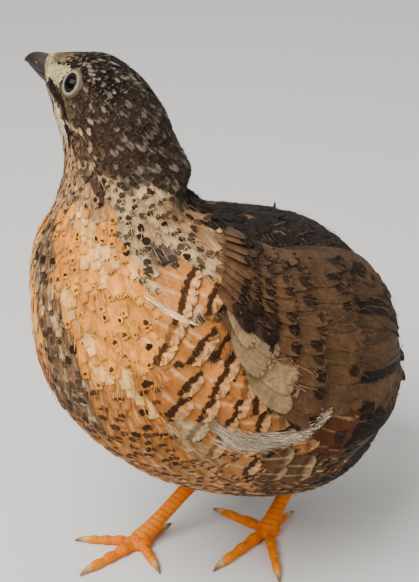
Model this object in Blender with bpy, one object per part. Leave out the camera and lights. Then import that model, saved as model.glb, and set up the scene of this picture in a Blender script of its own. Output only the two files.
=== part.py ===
"""A painted quail hen, life size, standing alert with one foot forward and the head turned to its right.

The file is in metres with +Z up. The bird faces -Y, its left side is +X, and it stands on Z = 0.
Sizes are named in millimetres and become metres where a mesh is made.
"""

import math
import random
from dataclasses import dataclass

import bmesh
import bpy
import numpy as np

MM = 0.001
GAP = 0.3
OBJECT_NAME = "painted_quail_hen"

# Driving sizes, in millimetres
EYE_RADIUS = 2.8
EYE_DEPTH = 2.3
EYE_STATION = 13.95
EYE_AROUND = 62.0
LID_THICKNESS = 0.5
LID_OPENING_LONG = 1.5
LID_OPENING_TALL = 2.1
BILL_ROUNDNESS = 0.85
MOUTH_LINE = 0.35
MOUTH_FRONT = 14.1
MOUTH_CORNER = 9.6
MOUTH_CORNER_DROP = 0.9
NOSTRIL_FORWARD = 14.6
NOSTRIL_SIDE = 1.7
NOSTRIL_HEIGHT = 113.6
NOSTRIL_RADIUS = 0.42
NOSTRIL_SHAPE = (1.5, 1.0, 0.8)
NECK_STARTS = 9.0
HEAD_STARTS = 12.6
TORSO_ENDS = 0.9
BODY_SIDES = 32
THIGH_RADII = (2.9, 4.6, 6.3, 7.2, 5.8, 2.0)
THIGH_OVERHANG = 0.8
SHANK_RADIUS = 1.55
SHANK_DEPTH = 1.15
SHANK_PARTS = (0.0, 0.3, 0.6, 0.82)
SHANK_SWELLS = (1.1, 1.0, 1.0, 1.15)
HUB_TOP_RADIUS = 2.4
HUB_RADIUS = 3.0
HUB_HEIGHT = 2.1
SOLE_RADIUS = 2.2
TOE_SIDES = 8
TOE_TAPER = 0.28
TOE_NECK = 0.88
PAD_SWELL = 0.2
FOOT_FLAT = 0.86
CLAW_LENGTH = 3.0
CLAW_ROOT = 0.85
CLAW_TIP = 0.14
CLAW_CURVE = 0.75
CORE_STEPS = 11
CORE_ROWS = 7
CORE_REACH = 0.64
CORE_RIM = 0.6
CORE_THICKNESS = 0.6
CORE_TOP = 0.03
CORE_WIDTH = 0.94
WING_STAND_OFF = 0.5
VANE_THICKNESS = 0.55
VANE_TILT = 9.0
WING_SEED = 3
TAIL_SEED = 5
TAIL_CORE = 5.0
TAIL_CORE_DROP = 2.0
TAIL_CORE_STEPS = (0.3, 0.6, 0.85, 1.0)
BOX_MIDDLE_BEHIND = 2.8


@dataclass(frozen=True)
class Station:
    """A cross-section of the body: an ellipse between a point on the back and one on the front."""

    name: str
    pivot: tuple[float, float]
    turn: float
    back: tuple[float, float]
    front: tuple[float, float]
    half_width: float


# Each back and front point is how far forward of the pivot it lies, and its height. The turn is the
# heading in degrees, towards the bird's left, so the head's negative one looks to its right.
BODY = (
    Station("tail end", (0.0, 0.0), 0.0, (-42.6, 37.6), (-38.4, 29.6), 3.0),
    Station("vent", (0.0, 0.0), 0.0, (-39.2, 48.5), (-33.2, 20.8), 10.6),
    Station("rump", (0.0, 0.0), 0.0, (-32.8, 62.3), (-26.6, 13.6), 19.4),
    Station("loin", (0.0, 0.0), 0.0, (-21.6, 73.6), (-16.0, 11.2), 28.0),
    Station("saddle", (0.0, 0.0), 0.0, (-6.5, 80.0), (-3.0, 14.0), 33.0),
    Station("back", (0.0, 0.0), 0.0, (3.5, 83.0), (11.0, 20.0), 32.5),
    Station("shoulder", (0.0, 0.0), 0.0, (8.5, 85.0), (27.5, 31.0), 30.5),
    Station("breast", (0.0, 0.0), 0.0, (11.0, 87.0), (41.0, 47.0), 26.5),
    Station("crop", (0.0, 0.0), 0.0, (12.5, 89.5), (46.0, 63.5), 22.0),
    Station("neck root", (-1.8, -8.4), -10.0, (5.8, 92.2), (35.5, 78.5), 16.2),
    Station("low neck", (-5.2, -25.4), -30.0, (-13.4, 96.0), (13.2, 89.2), 12.6),
    Station("neck", (-7.6, -24.4), -52.0, (-11.4, 101.8), (10.2, 95.6), 10.6),
    Station("nape", (-9.4, -24.4), -68.0, (-10.4, 108.2), (9.2, 99.4), 9.2),
    Station("back of head", (-10.8, -24.8), -78.0, (-6.8, 114.2), (8.3, 101.2), 8.6),
    Station("crown", (-10.8, -24.8), -78.0, (-0.2, 117.2), (9.0, 103.0), 7.5),
    Station("brow", (-10.8, -24.8), -78.0, (5.6, 116.8), (9.6, 104.8), 5.7),
    Station("forehead", (-10.8, -24.8), -78.0, (10.0, 116.0), (11.1, 107.3), 4.05),
    Station("face", (-10.8, -24.8), -78.0, (12.9, 115.35), (11.6, 109.0), 2.35),
)
FACE_LEAN = (BODY[-1].back[0] - BODY[-1].front[0]) / (BODY[-1].back[1] - BODY[-1].front[1])


@dataclass(frozen=True)
class Finish:
    """The plain look of one material."""

    name: str
    colour: tuple[float, float, float]
    roughness: float


PLUMAGE = Finish("buff_brown_plumage", (0.32, 0.18, 0.09), 0.8)
DARK_PLUMAGE = Finish("dark_brown_plumage", (0.10, 0.07, 0.05), 0.8)
HORN = Finish("grey_black_horn", (0.05, 0.045, 0.045), 0.45)
EYE = Finish("brown_black_eye", (0.02, 0.012, 0.008), 0.05)
LEG_SKIN = Finish("orange_leg_skin", (0.62, 0.23, 0.03), 0.5)
CLAW_HORN = Finish("pale_claw_horn", (0.35, 0.22, 0.12), 0.4)


@dataclass(frozen=True)
class BillSection:
    """One slice of a half of the bill: how far forward, its top, its bottom and its half width."""

    forward: float
    top: float
    bottom: float
    half_width: float


UPPER_BILL = (
    BillSection(13.05, 115.2, 111.9, 2.2),
    BillSection(14.5, 115.25, 112.25, 1.9),
    BillSection(16.3, 115.05, 112.65, 1.4),
    BillSection(17.9, 114.45, 112.9, 0.85),
    BillSection(19.2, 113.5, 112.85, 0.3),
)
LOWER_BILL = (
    BillSection(12.5, 111.5, 109.1, 2.05),
    BillSection(13.9, 111.8, 109.6, 1.75),
    BillSection(15.6, 112.2, 110.6, 1.25),
    BillSection(17.1, 112.45, 111.6, 0.75),
    BillSection(18.2, 112.55, 112.2, 0.3),
)


@dataclass(frozen=True)
class Toe:
    """A toe: its name, heading in degrees from +X, length, thickness at its root and pads."""

    name: str
    heading: float
    length: float
    radius: float
    pads: int


@dataclass(frozen=True)
class Leg:
    """A leg: where the toes meet on the floor, the hock and the knee, and the toes."""

    side: str
    foot: tuple[float, float]
    hock: tuple[float, float, float]
    knee: tuple[float, float, float]
    toes: tuple[Toe, ...]


RIGHT_LEG = Leg(
    "right",
    (-11.0, -18.5),
    (-8.0, -3.2, 13.4),
    (-12.5, -9.0, 33.0),
    (
        Toe("back", 97.0, 4.4, 0.9, 1),
        Toe("inner", 342.0, 5.2, 1.2, 2),
        Toe("middle", 268.0, 10.8, 1.35, 3),
        Toe("outer", 221.0, 8.9, 1.2, 3),
    ),
)
LEFT_LEG = Leg(
    "left",
    (5.8, 6.0),
    (5.9, 15.0, 14.0),
    (12.5, 6.0, 32.0),
    (
        Toe("back", 100.0, 4.4, 0.9, 1),
        Toe("inner", 191.0, 9.4, 1.2, 2),
        Toe("middle", 275.0, 12.6, 1.35, 3),
        Toe("outer", 323.0, 12.0, 1.2, 3),
    ),
)


@dataclass(frozen=True)
class WingEdge:
    """A point on a folded wing's rim: a station of the body and an angle from the back, in degrees."""

    station: float
    around: float


WING_TOP = (WingEdge(8.0, 36.0), WingEdge(5.6, 31.0), WingEdge(3.2, 35.0), WingEdge(1.05, 55.0))
WING_BOTTOM = (WingEdge(7.9, 74.0), WingEdge(6.0, 93.0), WingEdge(3.6, 101.0), WingEdge(1.05, 77.0))


@dataclass(frozen=True)
class Tier:
    """A row of like feathers on a folded wing.

    Root and reach are shares of the wing's length, and top and bottom are how far down the wing the
    first and the last feather lie. Sweep moves the tips down, and taper shortens the lower feathers.
    """

    name: str
    count: int
    root: float
    reach: float
    top: float
    bottom: float
    width: float
    root_lift: float
    tip_lift: float
    sections: int
    sweep: float = 0.0
    taper: float = 0.0


WING_TIERS = (
    Tier("primaries", 4, 0.52, 0.50, 0.62, 0.86, 6.0, 0.95, 1.0, 7, -0.10, 0.1),
    Tier("secondaries", 6, 0.44, 0.40, 0.32, 0.94, 7.0, 1.1, 1.75, 6, -0.02, 0.12),
    Tier("tertials", 3, 0.40, 0.50, 0.07, 0.27, 8.0, 1.2, 2.2, 6, 0.05, 0.05),
    Tier("greater coverts", 6, 0.34, 0.25, 0.10, 0.93, 8.0, 1.2, 2.7, 5, 0.0, 0.1),
    Tier("median coverts", 5, 0.22, 0.21, 0.10, 0.92, 8.0, 1.2, 2.9, 4),
    Tier("lower lesser coverts", 5, 0.11, 0.19, 0.12, 0.90, 7.5, 1.1, 2.9, 4),
    Tier("upper lesser coverts", 4, 0.02, 0.17, 0.15, 0.85, 7.0, 0.9, 2.7, 4),
)


@dataclass(frozen=True)
class TailRow:
    """A fan of like feathers at the tail. Root is how far behind and how high its middle one starts."""

    name: str
    count: int
    root: tuple[float, float]
    root_half_width: float
    arch: float
    spread: float
    fall: float
    length: float
    width: float
    roof: float
    droop: float
    rounding: float
    facing: float
    sections: int


TAIL_ROWS = (
    TailRow("tail feathers", 8, (39.5, 42.2), 5.4, 3.4, 19.0, 44.0, 18.5, 5.4, 48.0, 2.4, 0.16, 1.0, 5),
    TailRow("upper coverts", 5, (40.2, 43.9), 5.0, 2.4, 24.0, 36.0, 13.0, 6.6, 44.0, 1.6, 0.16, 1.0, 5),
    TailRow("under coverts", 4, (38.0, 28.6), 5.0, 0.0, 22.0, 22.0, 11.5, 7.0, -34.0, 1.6, 0.2, -1.0, 5),
)


def spline(values, at):
    """Reads a smooth curve through equally spaced rows of numbers, at a place counted in rows."""
    last = len(values) - 1
    low = min(int(at), last - 1)
    part = at - low
    before, first = values[max(low - 1, 0)], values[low]
    second, after = values[low + 1], values[min(low + 2, last)]
    return 0.5 * (
        2 * first
        + (second - before) * part
        + (2 * before - 5 * first + 4 * second - after) * part**2
        + (3 * first - before - 3 * second + after) * part**3
    )


def heading_vectors(turn):
    """The level unit vectors forwards and to the left of a heading."""
    angle = math.radians(turn)
    forwards = np.array([math.sin(angle), -math.cos(angle), 0.0])
    left = np.array([math.cos(angle), math.sin(angle), 0.0])
    return forwards, left


def station_row(station):
    """A station's back point, front point, turn and half width in one row."""
    forwards, _ = heading_vectors(station.turn)
    pivot = np.array([*station.pivot, 0.0])
    back = pivot + forwards * station.back[0] + [0.0, 0.0, station.back[1]]
    front = pivot + forwards * station.front[0] + [0.0, 0.0, station.front[1]]
    return np.array([*back, *front, station.turn, station.half_width])


BODY_ROWS = np.array([station_row(station) for station in BODY])


def body_surface(place, around):
    """The point of the body's surface at a station and an angle in radians, 0 on the back, left positive."""
    row = spline(BODY_ROWS, place)
    back, front = row[:3], row[3:6]
    _, left = heading_vectors(row[6])
    middle = (back + front) / 2
    return middle + math.cos(around) * (back - front) / 2 + math.sin(around) * row[7] * left


def body_point(place, around, lift=0.0):
    """A point of the body's surface, raised along the normal by lift."""
    point = body_surface(place, around)
    if not lift:
        return point
    step = 0.02
    along = body_surface(place + step, around) - body_surface(place - step, around)
    across = body_surface(place, around + step) - body_surface(place, around - step)
    normal = np.cross(along, across)
    return point + lift * normal / np.linalg.norm(normal)


def body_ring(place, sides=BODY_SIDES):
    """A ring of points round the body at a station."""
    return np.array([body_surface(place, 2 * math.pi * i / sides) for i in range(sides)])


def ring_axis(ring):
    """The unit normal of a flat ring, by its area."""
    middle = ring.mean(axis=0)
    area = np.cross(ring - middle, np.roll(ring, -1, axis=0) - middle).sum(axis=0)
    return area / np.linalg.norm(area)


def finish_material(finish):
    """The Principled material of a finish, made once."""
    material = bpy.data.materials.get(finish.name)
    if material:
        return material
    material = bpy.data.materials.new(finish.name)
    material.use_nodes = True
    shader = material.node_tree.nodes["Principled BSDF"]
    shader.inputs["Base Color"].default_value = (*finish.colour, 1.0)
    shader.inputs["Roughness"].default_value = finish.roughness
    shader.inputs["Metallic"].default_value = 0.0
    return material


def new_object(name, mesh, finish, collection):
    """An object of a mesh, with its material, in a collection."""
    made = bpy.data.objects.new(name, mesh)
    if finish:
        mesh.materials.append(finish_material(finish))
    collection.objects.link(made)
    return made


def closed_mesh(name, points, faces):
    """A smooth-shaded mesh of points in millimetres, with every face turned outwards."""
    shape = bmesh.new()
    corners = [shape.verts.new(np.asarray(point, float) * MM) for point in points]
    for face in faces:
        shape.faces.new([corners[i] for i in face])
    bmesh.ops.recalc_face_normals(shape, faces=shape.faces[:])
    mesh = bpy.data.meshes.new(name)
    shape.to_mesh(mesh)
    shape.free()
    mesh.shade_smooth()
    return mesh


def loft(name, rings, start=None, end=None):
    """A closed mesh through rings of equal length, ending in a fan at each end."""
    sides = len(rings[0])
    points = [point for ring in rings for point in ring]
    points.append(rings[0].mean(axis=0) if start is None else start)
    points.append(rings[-1].mean(axis=0) if end is None else end)
    first_end, last_end = len(points) - 2, len(points) - 1
    last_ring = (len(rings) - 1) * sides
    faces = []
    for i in range(sides):
        j = (i + 1) % sides
        faces.append((first_end, j, i))
        faces.append((last_end, last_ring + i, last_ring + j))
        for row in range(0, last_ring, sides):
            faces.append((row + i, row + j, row + sides + j, row + sides + i))
    return closed_mesh(name, points, faces)


def body_loft(name, start, end, step):
    """A length of the body between two stations. Its start stands off by the gap."""
    count = max(2, round((end - start) / step))
    rings = [body_ring(start + (end - start) * i / count) for i in range(count + 1)]
    if start > TORSO_ENDS:
        rings[0] = rings[0] + ring_axis(rings[0]) * GAP * turned_onwards(rings)
    return loft(name, rings)


def turned_onwards(rings):
    """1 where a ring's normal points to the next ring, else -1."""
    onwards = rings[1].mean(axis=0) - rings[0].mean(axis=0)
    return 1.0 if ring_axis(rings[0]) @ onwards > 0 else -1.0


def boolean(target, others, operation, solver="EXACT"):
    """Joins or cuts a target with a collection of closed meshes, applies it and removes them."""
    group = bpy.data.collections.new("joined_pieces")
    bpy.context.scene.collection.children.link(group)
    for other in others:
        for holder in other.users_collection:
            holder.objects.unlink(other)
        group.objects.link(other)
    modifier = target.modifiers.new("join", "BOOLEAN")
    modifier.operation = operation
    modifier.operand_type = "COLLECTION"
    modifier.collection = group
    modifier.solver = solver
    bpy.context.view_layer.update()
    evaluated = target.evaluated_get(bpy.context.evaluated_depsgraph_get())
    mesh = bpy.data.meshes.new_from_object(evaluated)
    target.modifiers.remove(modifier)
    old = target.data
    target.data = mesh
    bpy.data.meshes.remove(old)
    for other in list(group.objects):
        bpy.data.objects.remove(other)
    bpy.data.collections.remove(group)
    keep_largest(mesh)
    mesh.shade_smooth()


def keep_largest(mesh):
    """Leaves only the closed surface of a mesh that spans the largest box."""
    shape = bmesh.new()
    shape.from_mesh(mesh)
    left = set(shape.verts)
    islands = []
    while left:
        seed = left.pop()
        island, edge = {seed}, [seed]
        while edge:
            corner = edge.pop()
            for link in corner.link_edges:
                other = link.other_vert(corner)
                if other not in island:
                    island.add(other)
                    edge.append(other)
        left -= island
        islands.append(island)
    largest = max(islands, key=island_span)
    loose = [corner for corner in shape.verts if corner not in largest]
    bmesh.ops.delete(shape, geom=loose, context="VERTS")
    shape.to_mesh(mesh)
    shape.free()


def island_span(island):
    """The diagonal of an island's box."""
    places = np.array([corner.co for corner in island])
    return float(np.linalg.norm(places.max(axis=0) - places.min(axis=0)))


def tube_frames(path, upright=(0.0, 0.0, 1.0)):
    """Two unit vectors across a path at each of its points."""
    directions = np.gradient(path, axis=0)
    directions /= np.linalg.norm(directions, axis=1)[:, None]
    frames = []
    for direction in directions:
        sideways = np.cross(direction, upright)
        sideways /= np.linalg.norm(sideways)
        frames.append((sideways, np.cross(sideways, direction)))
    return frames


def tube_rings(path, radii, sides, upright=(0.0, 0.0, 1.0), tall=1.0):
    """Rings of points round a path."""
    rings = []
    for point, radius, (sideways, upwards) in zip(path, radii, tube_frames(path, upright)):
        angles = [2 * math.pi * i / sides for i in range(sides)]
        ring = [
            point + radius * (math.cos(a) * sideways + tall * math.sin(a) * upwards) for a in angles
        ]
        rings.append(np.array(ring))
    return rings


def above_floor(rings):
    """The rings with every point under the floor raised to it, which makes the flats."""
    return [np.column_stack([ring[:, 0], ring[:, 1], np.maximum(ring[:, 2], 0.0)]) for ring in rings]


def thigh_rings(leg, grow=0.0):
    """Rings of the feathered thigh, from just under the hock up to the knee inside the flank."""
    hock, knee = np.array(leg.hock), np.array(leg.knee)
    axis = (knee - hock) / np.linalg.norm(knee - hock)
    start = hock - axis * (THIGH_OVERHANG + grow)
    end = knee + axis * grow
    parts = np.linspace(0.0, 1.0, 9)
    path = np.array([start + (end - start) * part for part in parts])
    radii = np.array([[radius] for radius in THIGH_RADII])
    sizes = [spline(radii, part * (len(radii) - 1))[0] + grow for part in parts]
    return tube_rings(path, sizes, 12, (1.0, 0.0, 0.0))


def shank_rings(leg, grow=0.0):
    """Rings of the shank from the hock down to the foot's hub, which ends in a flat on the floor."""
    top = np.array(leg.hock)
    hub = np.array([*leg.foot, HUB_HEIGHT])
    path = [top + (hub - top) * part for part in SHANK_PARTS]
    path[0] = path[0] + (top - hub) / np.linalg.norm(top - hub) * grow
    radii = [SHANK_RADIUS * swell + grow for swell in SHANK_SWELLS]
    rings = tube_rings(np.array(path), radii, 12, tall=SHANK_DEPTH)
    levels = ((HUB_HEIGHT + 0.5, HUB_TOP_RADIUS), (HUB_HEIGHT - 0.4, HUB_RADIUS), (0.0, SOLE_RADIUS))
    for height, radius in levels:
        centre = np.array([*leg.foot, height])
        level = tube_rings(np.array([centre, centre - [0, 0, 1.0]]), [radius + grow] * 2, 12, (0, 1, 0))
        rings.append(matched(level[0], rings[-1]))
    return rings


def matched(ring, previous):
    """A ring turned so that its points follow those of the ring before it."""
    offsets = range(len(ring))
    best = None
    for candidate in (ring, ring[::-1]):
        for offset in offsets:
            rolled = np.roll(candidate, offset, axis=0)
            spread = rolled - rolled.mean(axis=0) - (previous - previous.mean(axis=0))
            cost = float((spread**2).sum())
            if best is None or cost < best[0]:
                best = (cost, rolled)
    return best[1]


def toe_shapes(leg, toe):
    """The rings of a toe and of its claw."""
    angle = math.radians(toe.heading)
    along = np.array([math.cos(angle), math.sin(angle), 0.0])
    reach = HUB_RADIUS + GAP
    steps = 4 * toe.pads
    radii = []
    for i in range(steps + 1):
        part = i / steps
        pad = 0.5 - 0.5 * math.cos(2 * math.pi * part * toe.pads)
        radii.append(toe.radius * (1.0 - TOE_TAPER * part) * (TOE_NECK + PAD_SWELL * pad))
    path = []
    for i, radius in enumerate(radii):
        path.append(np.array([*leg.foot, FOOT_FLAT * radius]) + along * (reach + toe.length * i / steps))
    rings = above_floor(tube_rings(np.array(path), radii, TOE_SIDES))
    sideways = np.cross(along, (0.0, 0.0, 1.0))
    for point in rings[0]:
        offset = (point[:2] - leg.foot) @ sideways[:2]
        pulled = math.sqrt(reach**2 - offset**2) - reach
        point[:2] += along[:2] * pulled
    claw_root = reach + toe.length + GAP
    claw_path, claw_radii = [], []
    for i in range(5):
        part = i / 4
        radius = radii[-1] * CLAW_ROOT * (1 - part) + CLAW_TIP
        height = max(radii[-1] * (1.05 - CLAW_CURVE * part**2), radius * 0.9)
        claw_path.append(np.array([*leg.foot, height]) + along * (claw_root + CLAW_LENGTH * part))
        claw_radii.append(radius)
    claw = above_floor(tube_rings(np.array(claw_path), claw_radii, TOE_SIDES))
    for point in claw[0]:
        beside = (point[:2] - leg.foot) @ sideways[:2]
        point[:2] = leg.foot + along[:2] * claw_root + sideways[:2] * beside
    return rings, claw


def head_place(forward, side, height):
    """A point given forwards and to the left of the head's pivot, and by its height."""
    pivot = np.array([*BODY[-1].pivot, 0.0])
    forwards, left = heading_vectors(BODY[-1].turn)
    return pivot + forwards * forward + left * side + [0.0, 0.0, height]


def bill_rings(sections, upper):
    """Rings of one half of the bill, flat where the halves meet. The root lies along the face."""
    rings = []
    root = sections[0].forward
    reach = sections[-1].forward - root
    meeting = sections[0].bottom if upper else sections[0].top
    for section in sections:
        edge = section.bottom if upper else section.top
        tall = section.top - section.bottom
        lean = FACE_LEAN * (1 - (section.forward - root) / reach)
        ring = []
        for i in range(9):
            angle = math.pi * i / 8
            height = edge + (tall if upper else -tall) * math.sin(angle) ** BILL_ROUNDNESS
            forward = section.forward + lean * (height - meeting)
            ring.append(head_place(forward, section.half_width * math.cos(angle), height))
        for part in (-0.5, 0.0, 0.5):
            forward = section.forward + lean * (edge - meeting)
            ring.append(head_place(forward, section.half_width * part, edge))
        rings.append(np.array(ring))
    return rings


def eye_centre(side):
    """The middle of an eyeball, sunk under the head's surface. side is 1 on the left, -1 on the right."""
    return body_point(EYE_STATION, side * math.radians(EYE_AROUND), -EYE_DEPTH)


def eye_outwards(side):
    """The unit vector that an eye looks along."""
    outside = body_point(EYE_STATION, side * math.radians(EYE_AROUND), EYE_DEPTH) - eye_centre(side)
    return outside / np.linalg.norm(outside)


def ball(name, centre, radius, finish, collection, size=(1.0, 1.0, 1.0), segments=16, rings=8):
    """A closed ball, or an ellipsoid of it along the world's axes."""
    shape = bmesh.new()
    bmesh.ops.create_uvsphere(shape, u_segments=segments, v_segments=rings, radius=radius * MM)
    for corner in shape.verts:
        for axis in range(3):
            corner.co[axis] = corner.co[axis] * size[axis] + centre[axis] * MM
    mesh = bpy.data.meshes.new(name)
    shape.to_mesh(mesh)
    shape.free()
    mesh.shade_smooth()
    return new_object(name, mesh, finish, collection)


def lid_opening(side, collection):
    """The cutter that opens the lids in front of an eye, taller than it is long."""
    outwards = eye_outwards(side)
    forwards, _ = heading_vectors(BODY[-1].turn)
    along = forwards - outwards * (forwards @ outwards)
    along /= np.linalg.norm(along)
    upwards = np.cross(outwards, along)
    rings = []
    for reach in (0.6, 6.0):
        ring = []
        for i in range(20):
            angle = 2 * math.pi * i / 20
            long, tall = LID_OPENING_LONG * math.cos(angle), LID_OPENING_TALL * math.sin(angle)
            ring.append(eye_centre(side) + outwards * reach + along * long + upwards * tall)
        rings.append(np.array(ring))
    return new_object("lid_opening", loft("lid_opening", rings), None, collection)


def build_head(parts, cutters):
    """The head with its lids and mouth corner, the eyes and the two halves of the bill."""
    head = new_object("head", body_loft("head", HEAD_STARTS, len(BODY) - 1, 0.37), PLUMAGE, parts)
    domes = [
        ball("lid", eye_centre(side), EYE_RADIUS + GAP + LID_THICKNESS, None, cutters) for side in (1, -1)
    ]
    boolean(head, domes, "UNION")
    hollows = [mouth_cutter(cutters)]
    for side in (1, -1):
        hollows.append(ball("socket", eye_centre(side), EYE_RADIUS + GAP, None, cutters))
        hollows.append(lid_opening(side, cutters))
    boolean(head, hollows, "DIFFERENCE")
    for side, word in ((1, "left"), (-1, "right")):
        ball(f"eye_{word}", eye_centre(side), EYE_RADIUS, EYE, parts)
    upper = new_object("bill_upper", loft("bill_upper", bill_rings(UPPER_BILL, True)), HORN, parts)
    nostrils = []
    for side in (1, -1):
        place = head_place(NOSTRIL_FORWARD, side * NOSTRIL_SIDE, NOSTRIL_HEIGHT)
        nostrils.append(ball("nostril", place, NOSTRIL_RADIUS, None, cutters, NOSTRIL_SHAPE, 10, 6))
    boolean(upper, nostrils, "DIFFERENCE")
    new_object("bill_lower", loft("bill_lower", bill_rings(LOWER_BILL, False)), HORN, parts)


def mouth_cutter(collection):
    """A thin slab that carries the line between the halves of the bill on into the face."""
    middle = (UPPER_BILL[0].bottom + LOWER_BILL[0].top) / 2
    rings = []
    for forward, drop in ((MOUTH_CORNER, MOUTH_CORNER_DROP), (MOUTH_FRONT, 0.0)):
        ring = []
        for side, height in ((1, 1), (-1, 1), (-1, -1), (1, -1)):
            ring.append(head_place(forward, side * 6.0, middle - drop + height * MOUTH_LINE / 2))
        rings.append(np.array(ring))
    return new_object("mouth_line", loft("mouth_line", rings), None, collection)


def shank_cutter(leg, collection):
    """A shank grown by the gap, which keeps its neighbours clear."""
    return new_object("shank_cutter", loft("shank_cutter", shank_rings(leg, GAP)[:4]), None, collection)


def build_leg(leg, parts, cutters):
    """The thigh, shank, toes and claws of one leg."""
    thigh = new_object(f"thigh_{leg.side}", loft("thigh", thigh_rings(leg)), PLUMAGE, parts)
    boolean(thigh, [shank_cutter(leg, cutters)], "DIFFERENCE")
    new_object(f"shank_{leg.side}", loft("shank", shank_rings(leg)), LEG_SKIN, parts)
    for toe in leg.toes:
        rings, claw = toe_shapes(leg, toe)
        new_object(f"toe_{leg.side}_{toe.name}", loft("toe", rings), LEG_SKIN, parts)
        new_object(f"claw_{leg.side}_{toe.name}", loft("claw", claw), CLAW_HORN, parts)


def build_torso(parts, cutters):
    """The torso, cut clear of the thighs and shanks."""
    torso = new_object("torso", body_loft("torso", TORSO_ENDS, NECK_STARTS, 0.47), PLUMAGE, parts)
    sockets = []
    for leg in (RIGHT_LEG, LEFT_LEG):
        socket = loft("thigh_socket", thigh_rings(leg, GAP))
        sockets.append(new_object("thigh_socket", socket, None, cutters))
        sockets.append(shank_cutter(leg, cutters))
    boolean(torso, sockets, "DIFFERENCE")


def wing_place(along, down):
    """The station and the angle of a place on the wing, from its front to its tip and from top to bottom."""
    top = spline(np.array([(edge.station, edge.around) for edge in WING_TOP]), along * 3)
    bottom = spline(np.array([(edge.station, edge.around) for edge in WING_BOTTOM]), along * 3)
    return top + (bottom - top) * down


def wing_point(along, down, side, lift):
    """A point of the wing in space, raised off the body by lift."""
    station, degrees = wing_place(along, down)
    return body_point(station, side * math.radians(degrees), lift)


def wing_core(name, side):
    """The thin plate in which a wing's feathers root, from the shoulder to past the middle."""
    inner, outer = [], []
    for i in range(CORE_STEPS):
        for j in range(CORE_ROWS):
            along = CORE_REACH * i / (CORE_STEPS - 1)
            down = CORE_TOP + CORE_WIDTH * j / (CORE_ROWS - 1)
            lengthways = math.sin(math.pi * (0.08 + 0.8 * along / CORE_REACH)) ** 0.4
            rise = (1 - abs(2 * down - 1) ** 4) * lengthways
            inner.append(wing_point(along, down, side, WING_STAND_OFF))
            outer.append(wing_point(along, down, side, WING_STAND_OFF + CORE_RIM + CORE_THICKNESS * rise))
    count = len(inner)
    faces = []
    for i in range(CORE_STEPS - 1):
        for j in range(CORE_ROWS - 1):
            a = i * CORE_ROWS + j
            b, c, d = a + 1, a + CORE_ROWS + 1, a + CORE_ROWS
            faces += [(a, b, c), (a, c, d)]
            faces += [(a + count, c + count, b + count), (a + count, d + count, c + count)]
    rim = list(range(CORE_ROWS))
    rim += [i * CORE_ROWS + CORE_ROWS - 1 for i in range(1, CORE_STEPS)]
    rim += [(CORE_STEPS - 1) * CORE_ROWS + j for j in range(CORE_ROWS - 2, -1, -1)]
    rim += [i * CORE_ROWS for i in range(CORE_STEPS - 2, 0, -1)]
    for a, b in zip(rim, rim[1:] + rim[:1]):
        faces.append((a, b, b + count, a + count))
    return closed_mesh(name, inner + outer, faces)


def vane_mesh(name, centres, normals, width, tilt=0.0):
    """A feather as a thin, tapered strip, its four-cornered sections split alike on both faces."""
    centres = np.array(centres)
    directions = np.gradient(centres, axis=0)
    points = []
    for centre, normal, direction, part in zip(centres, normals, directions, vane_parts(len(centres))):
        across = np.cross(normal, direction)
        across /= np.linalg.norm(across)
        upwards = np.cross(direction, across)
        upwards /= np.linalg.norm(upwards)
        lean = math.radians(tilt)
        across, upwards = (
            across * math.cos(lean) + upwards * math.sin(lean),
            upwards * math.cos(lean) - across * math.sin(lean),
        )
        wide = width / 2 * vane_outline(part)
        thick = VANE_THICKNESS / 2 * (1.0 - 0.45 * part**3)
        for left, up in ((-1, 1), (1, 1), (1, -1), (-1, -1)):
            points.append(centre + across * wide * left + upwards * thick * up)
    faces = [(0, 1, 2), (0, 2, 3)]
    for row in range(0, 4 * (len(centres) - 1), 4):
        a, b, c, d = row, row + 1, row + 2, row + 3
        e, f, g, h = a + 4, b + 4, c + 4, d + 4
        faces += [(a, f, b), (a, e, f), (d, c, g), (d, g, h), (b, f, g), (b, g, c), (a, d, h), (a, h, e)]
    last = 4 * (len(centres) - 1)
    faces += [(last, last + 2, last + 1), (last, last + 3, last + 2)]
    return closed_mesh(name, points, faces)


def vane_parts(count):
    """Where a vane's sections lie along it, closer together towards the rounded tip."""
    return [1 - (1 - i / (count - 1)) ** 1.35 for i in range(count)]


def vane_outline(part):
    """How wide a feather is along its length, as a share of its full width."""
    root = min(1.0, 0.5 + 1.6 * part)
    tip = math.sqrt(max(0.0, 1 - max(0.0, (part - 0.62) / 0.38) ** 2.4))
    return root * (0.2 + 0.8 * tip)


def wing_vane(tier, index, side, draw, collection):
    """One feather of a tier, laid along the wing's surface and rising from its root to its tip."""
    part = index / (tier.count - 1)
    down = tier.top + (tier.bottom - tier.top) * part
    reach = tier.reach * (1 + draw.uniform(-0.05, 0.05)) * (1 - tier.taper * part)
    centres, normals = [], []
    for along in vane_parts(tier.sections):
        place = (tier.root + reach * along, down + tier.sweep * along)
        lift = tier.root_lift + (tier.tip_lift - tier.root_lift) * along
        low, high = wing_point(*place, side, lift), wing_point(*place, side, lift + 1.0)
        centres.append(low)
        normals.append(high - low)
    mesh = vane_mesh("vane", centres, normals, tier.width, side * VANE_TILT)
    return new_object("vane", mesh, None, collection)


def build_wing(side, word, parts, cutters):
    """A folded wing: coverts in tiers over the secondaries, tertials and primaries."""
    draw = random.Random(WING_SEED)
    wing = new_object(f"wing_{word}", wing_core(f"wing_{word}", side), PLUMAGE, parts)
    vanes = []
    for tier in WING_TIERS:
        for index in range(tier.count):
            vanes.append(wing_vane(tier, index, side, draw, cutters))
    boolean(wing, vanes, "UNION")


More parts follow.
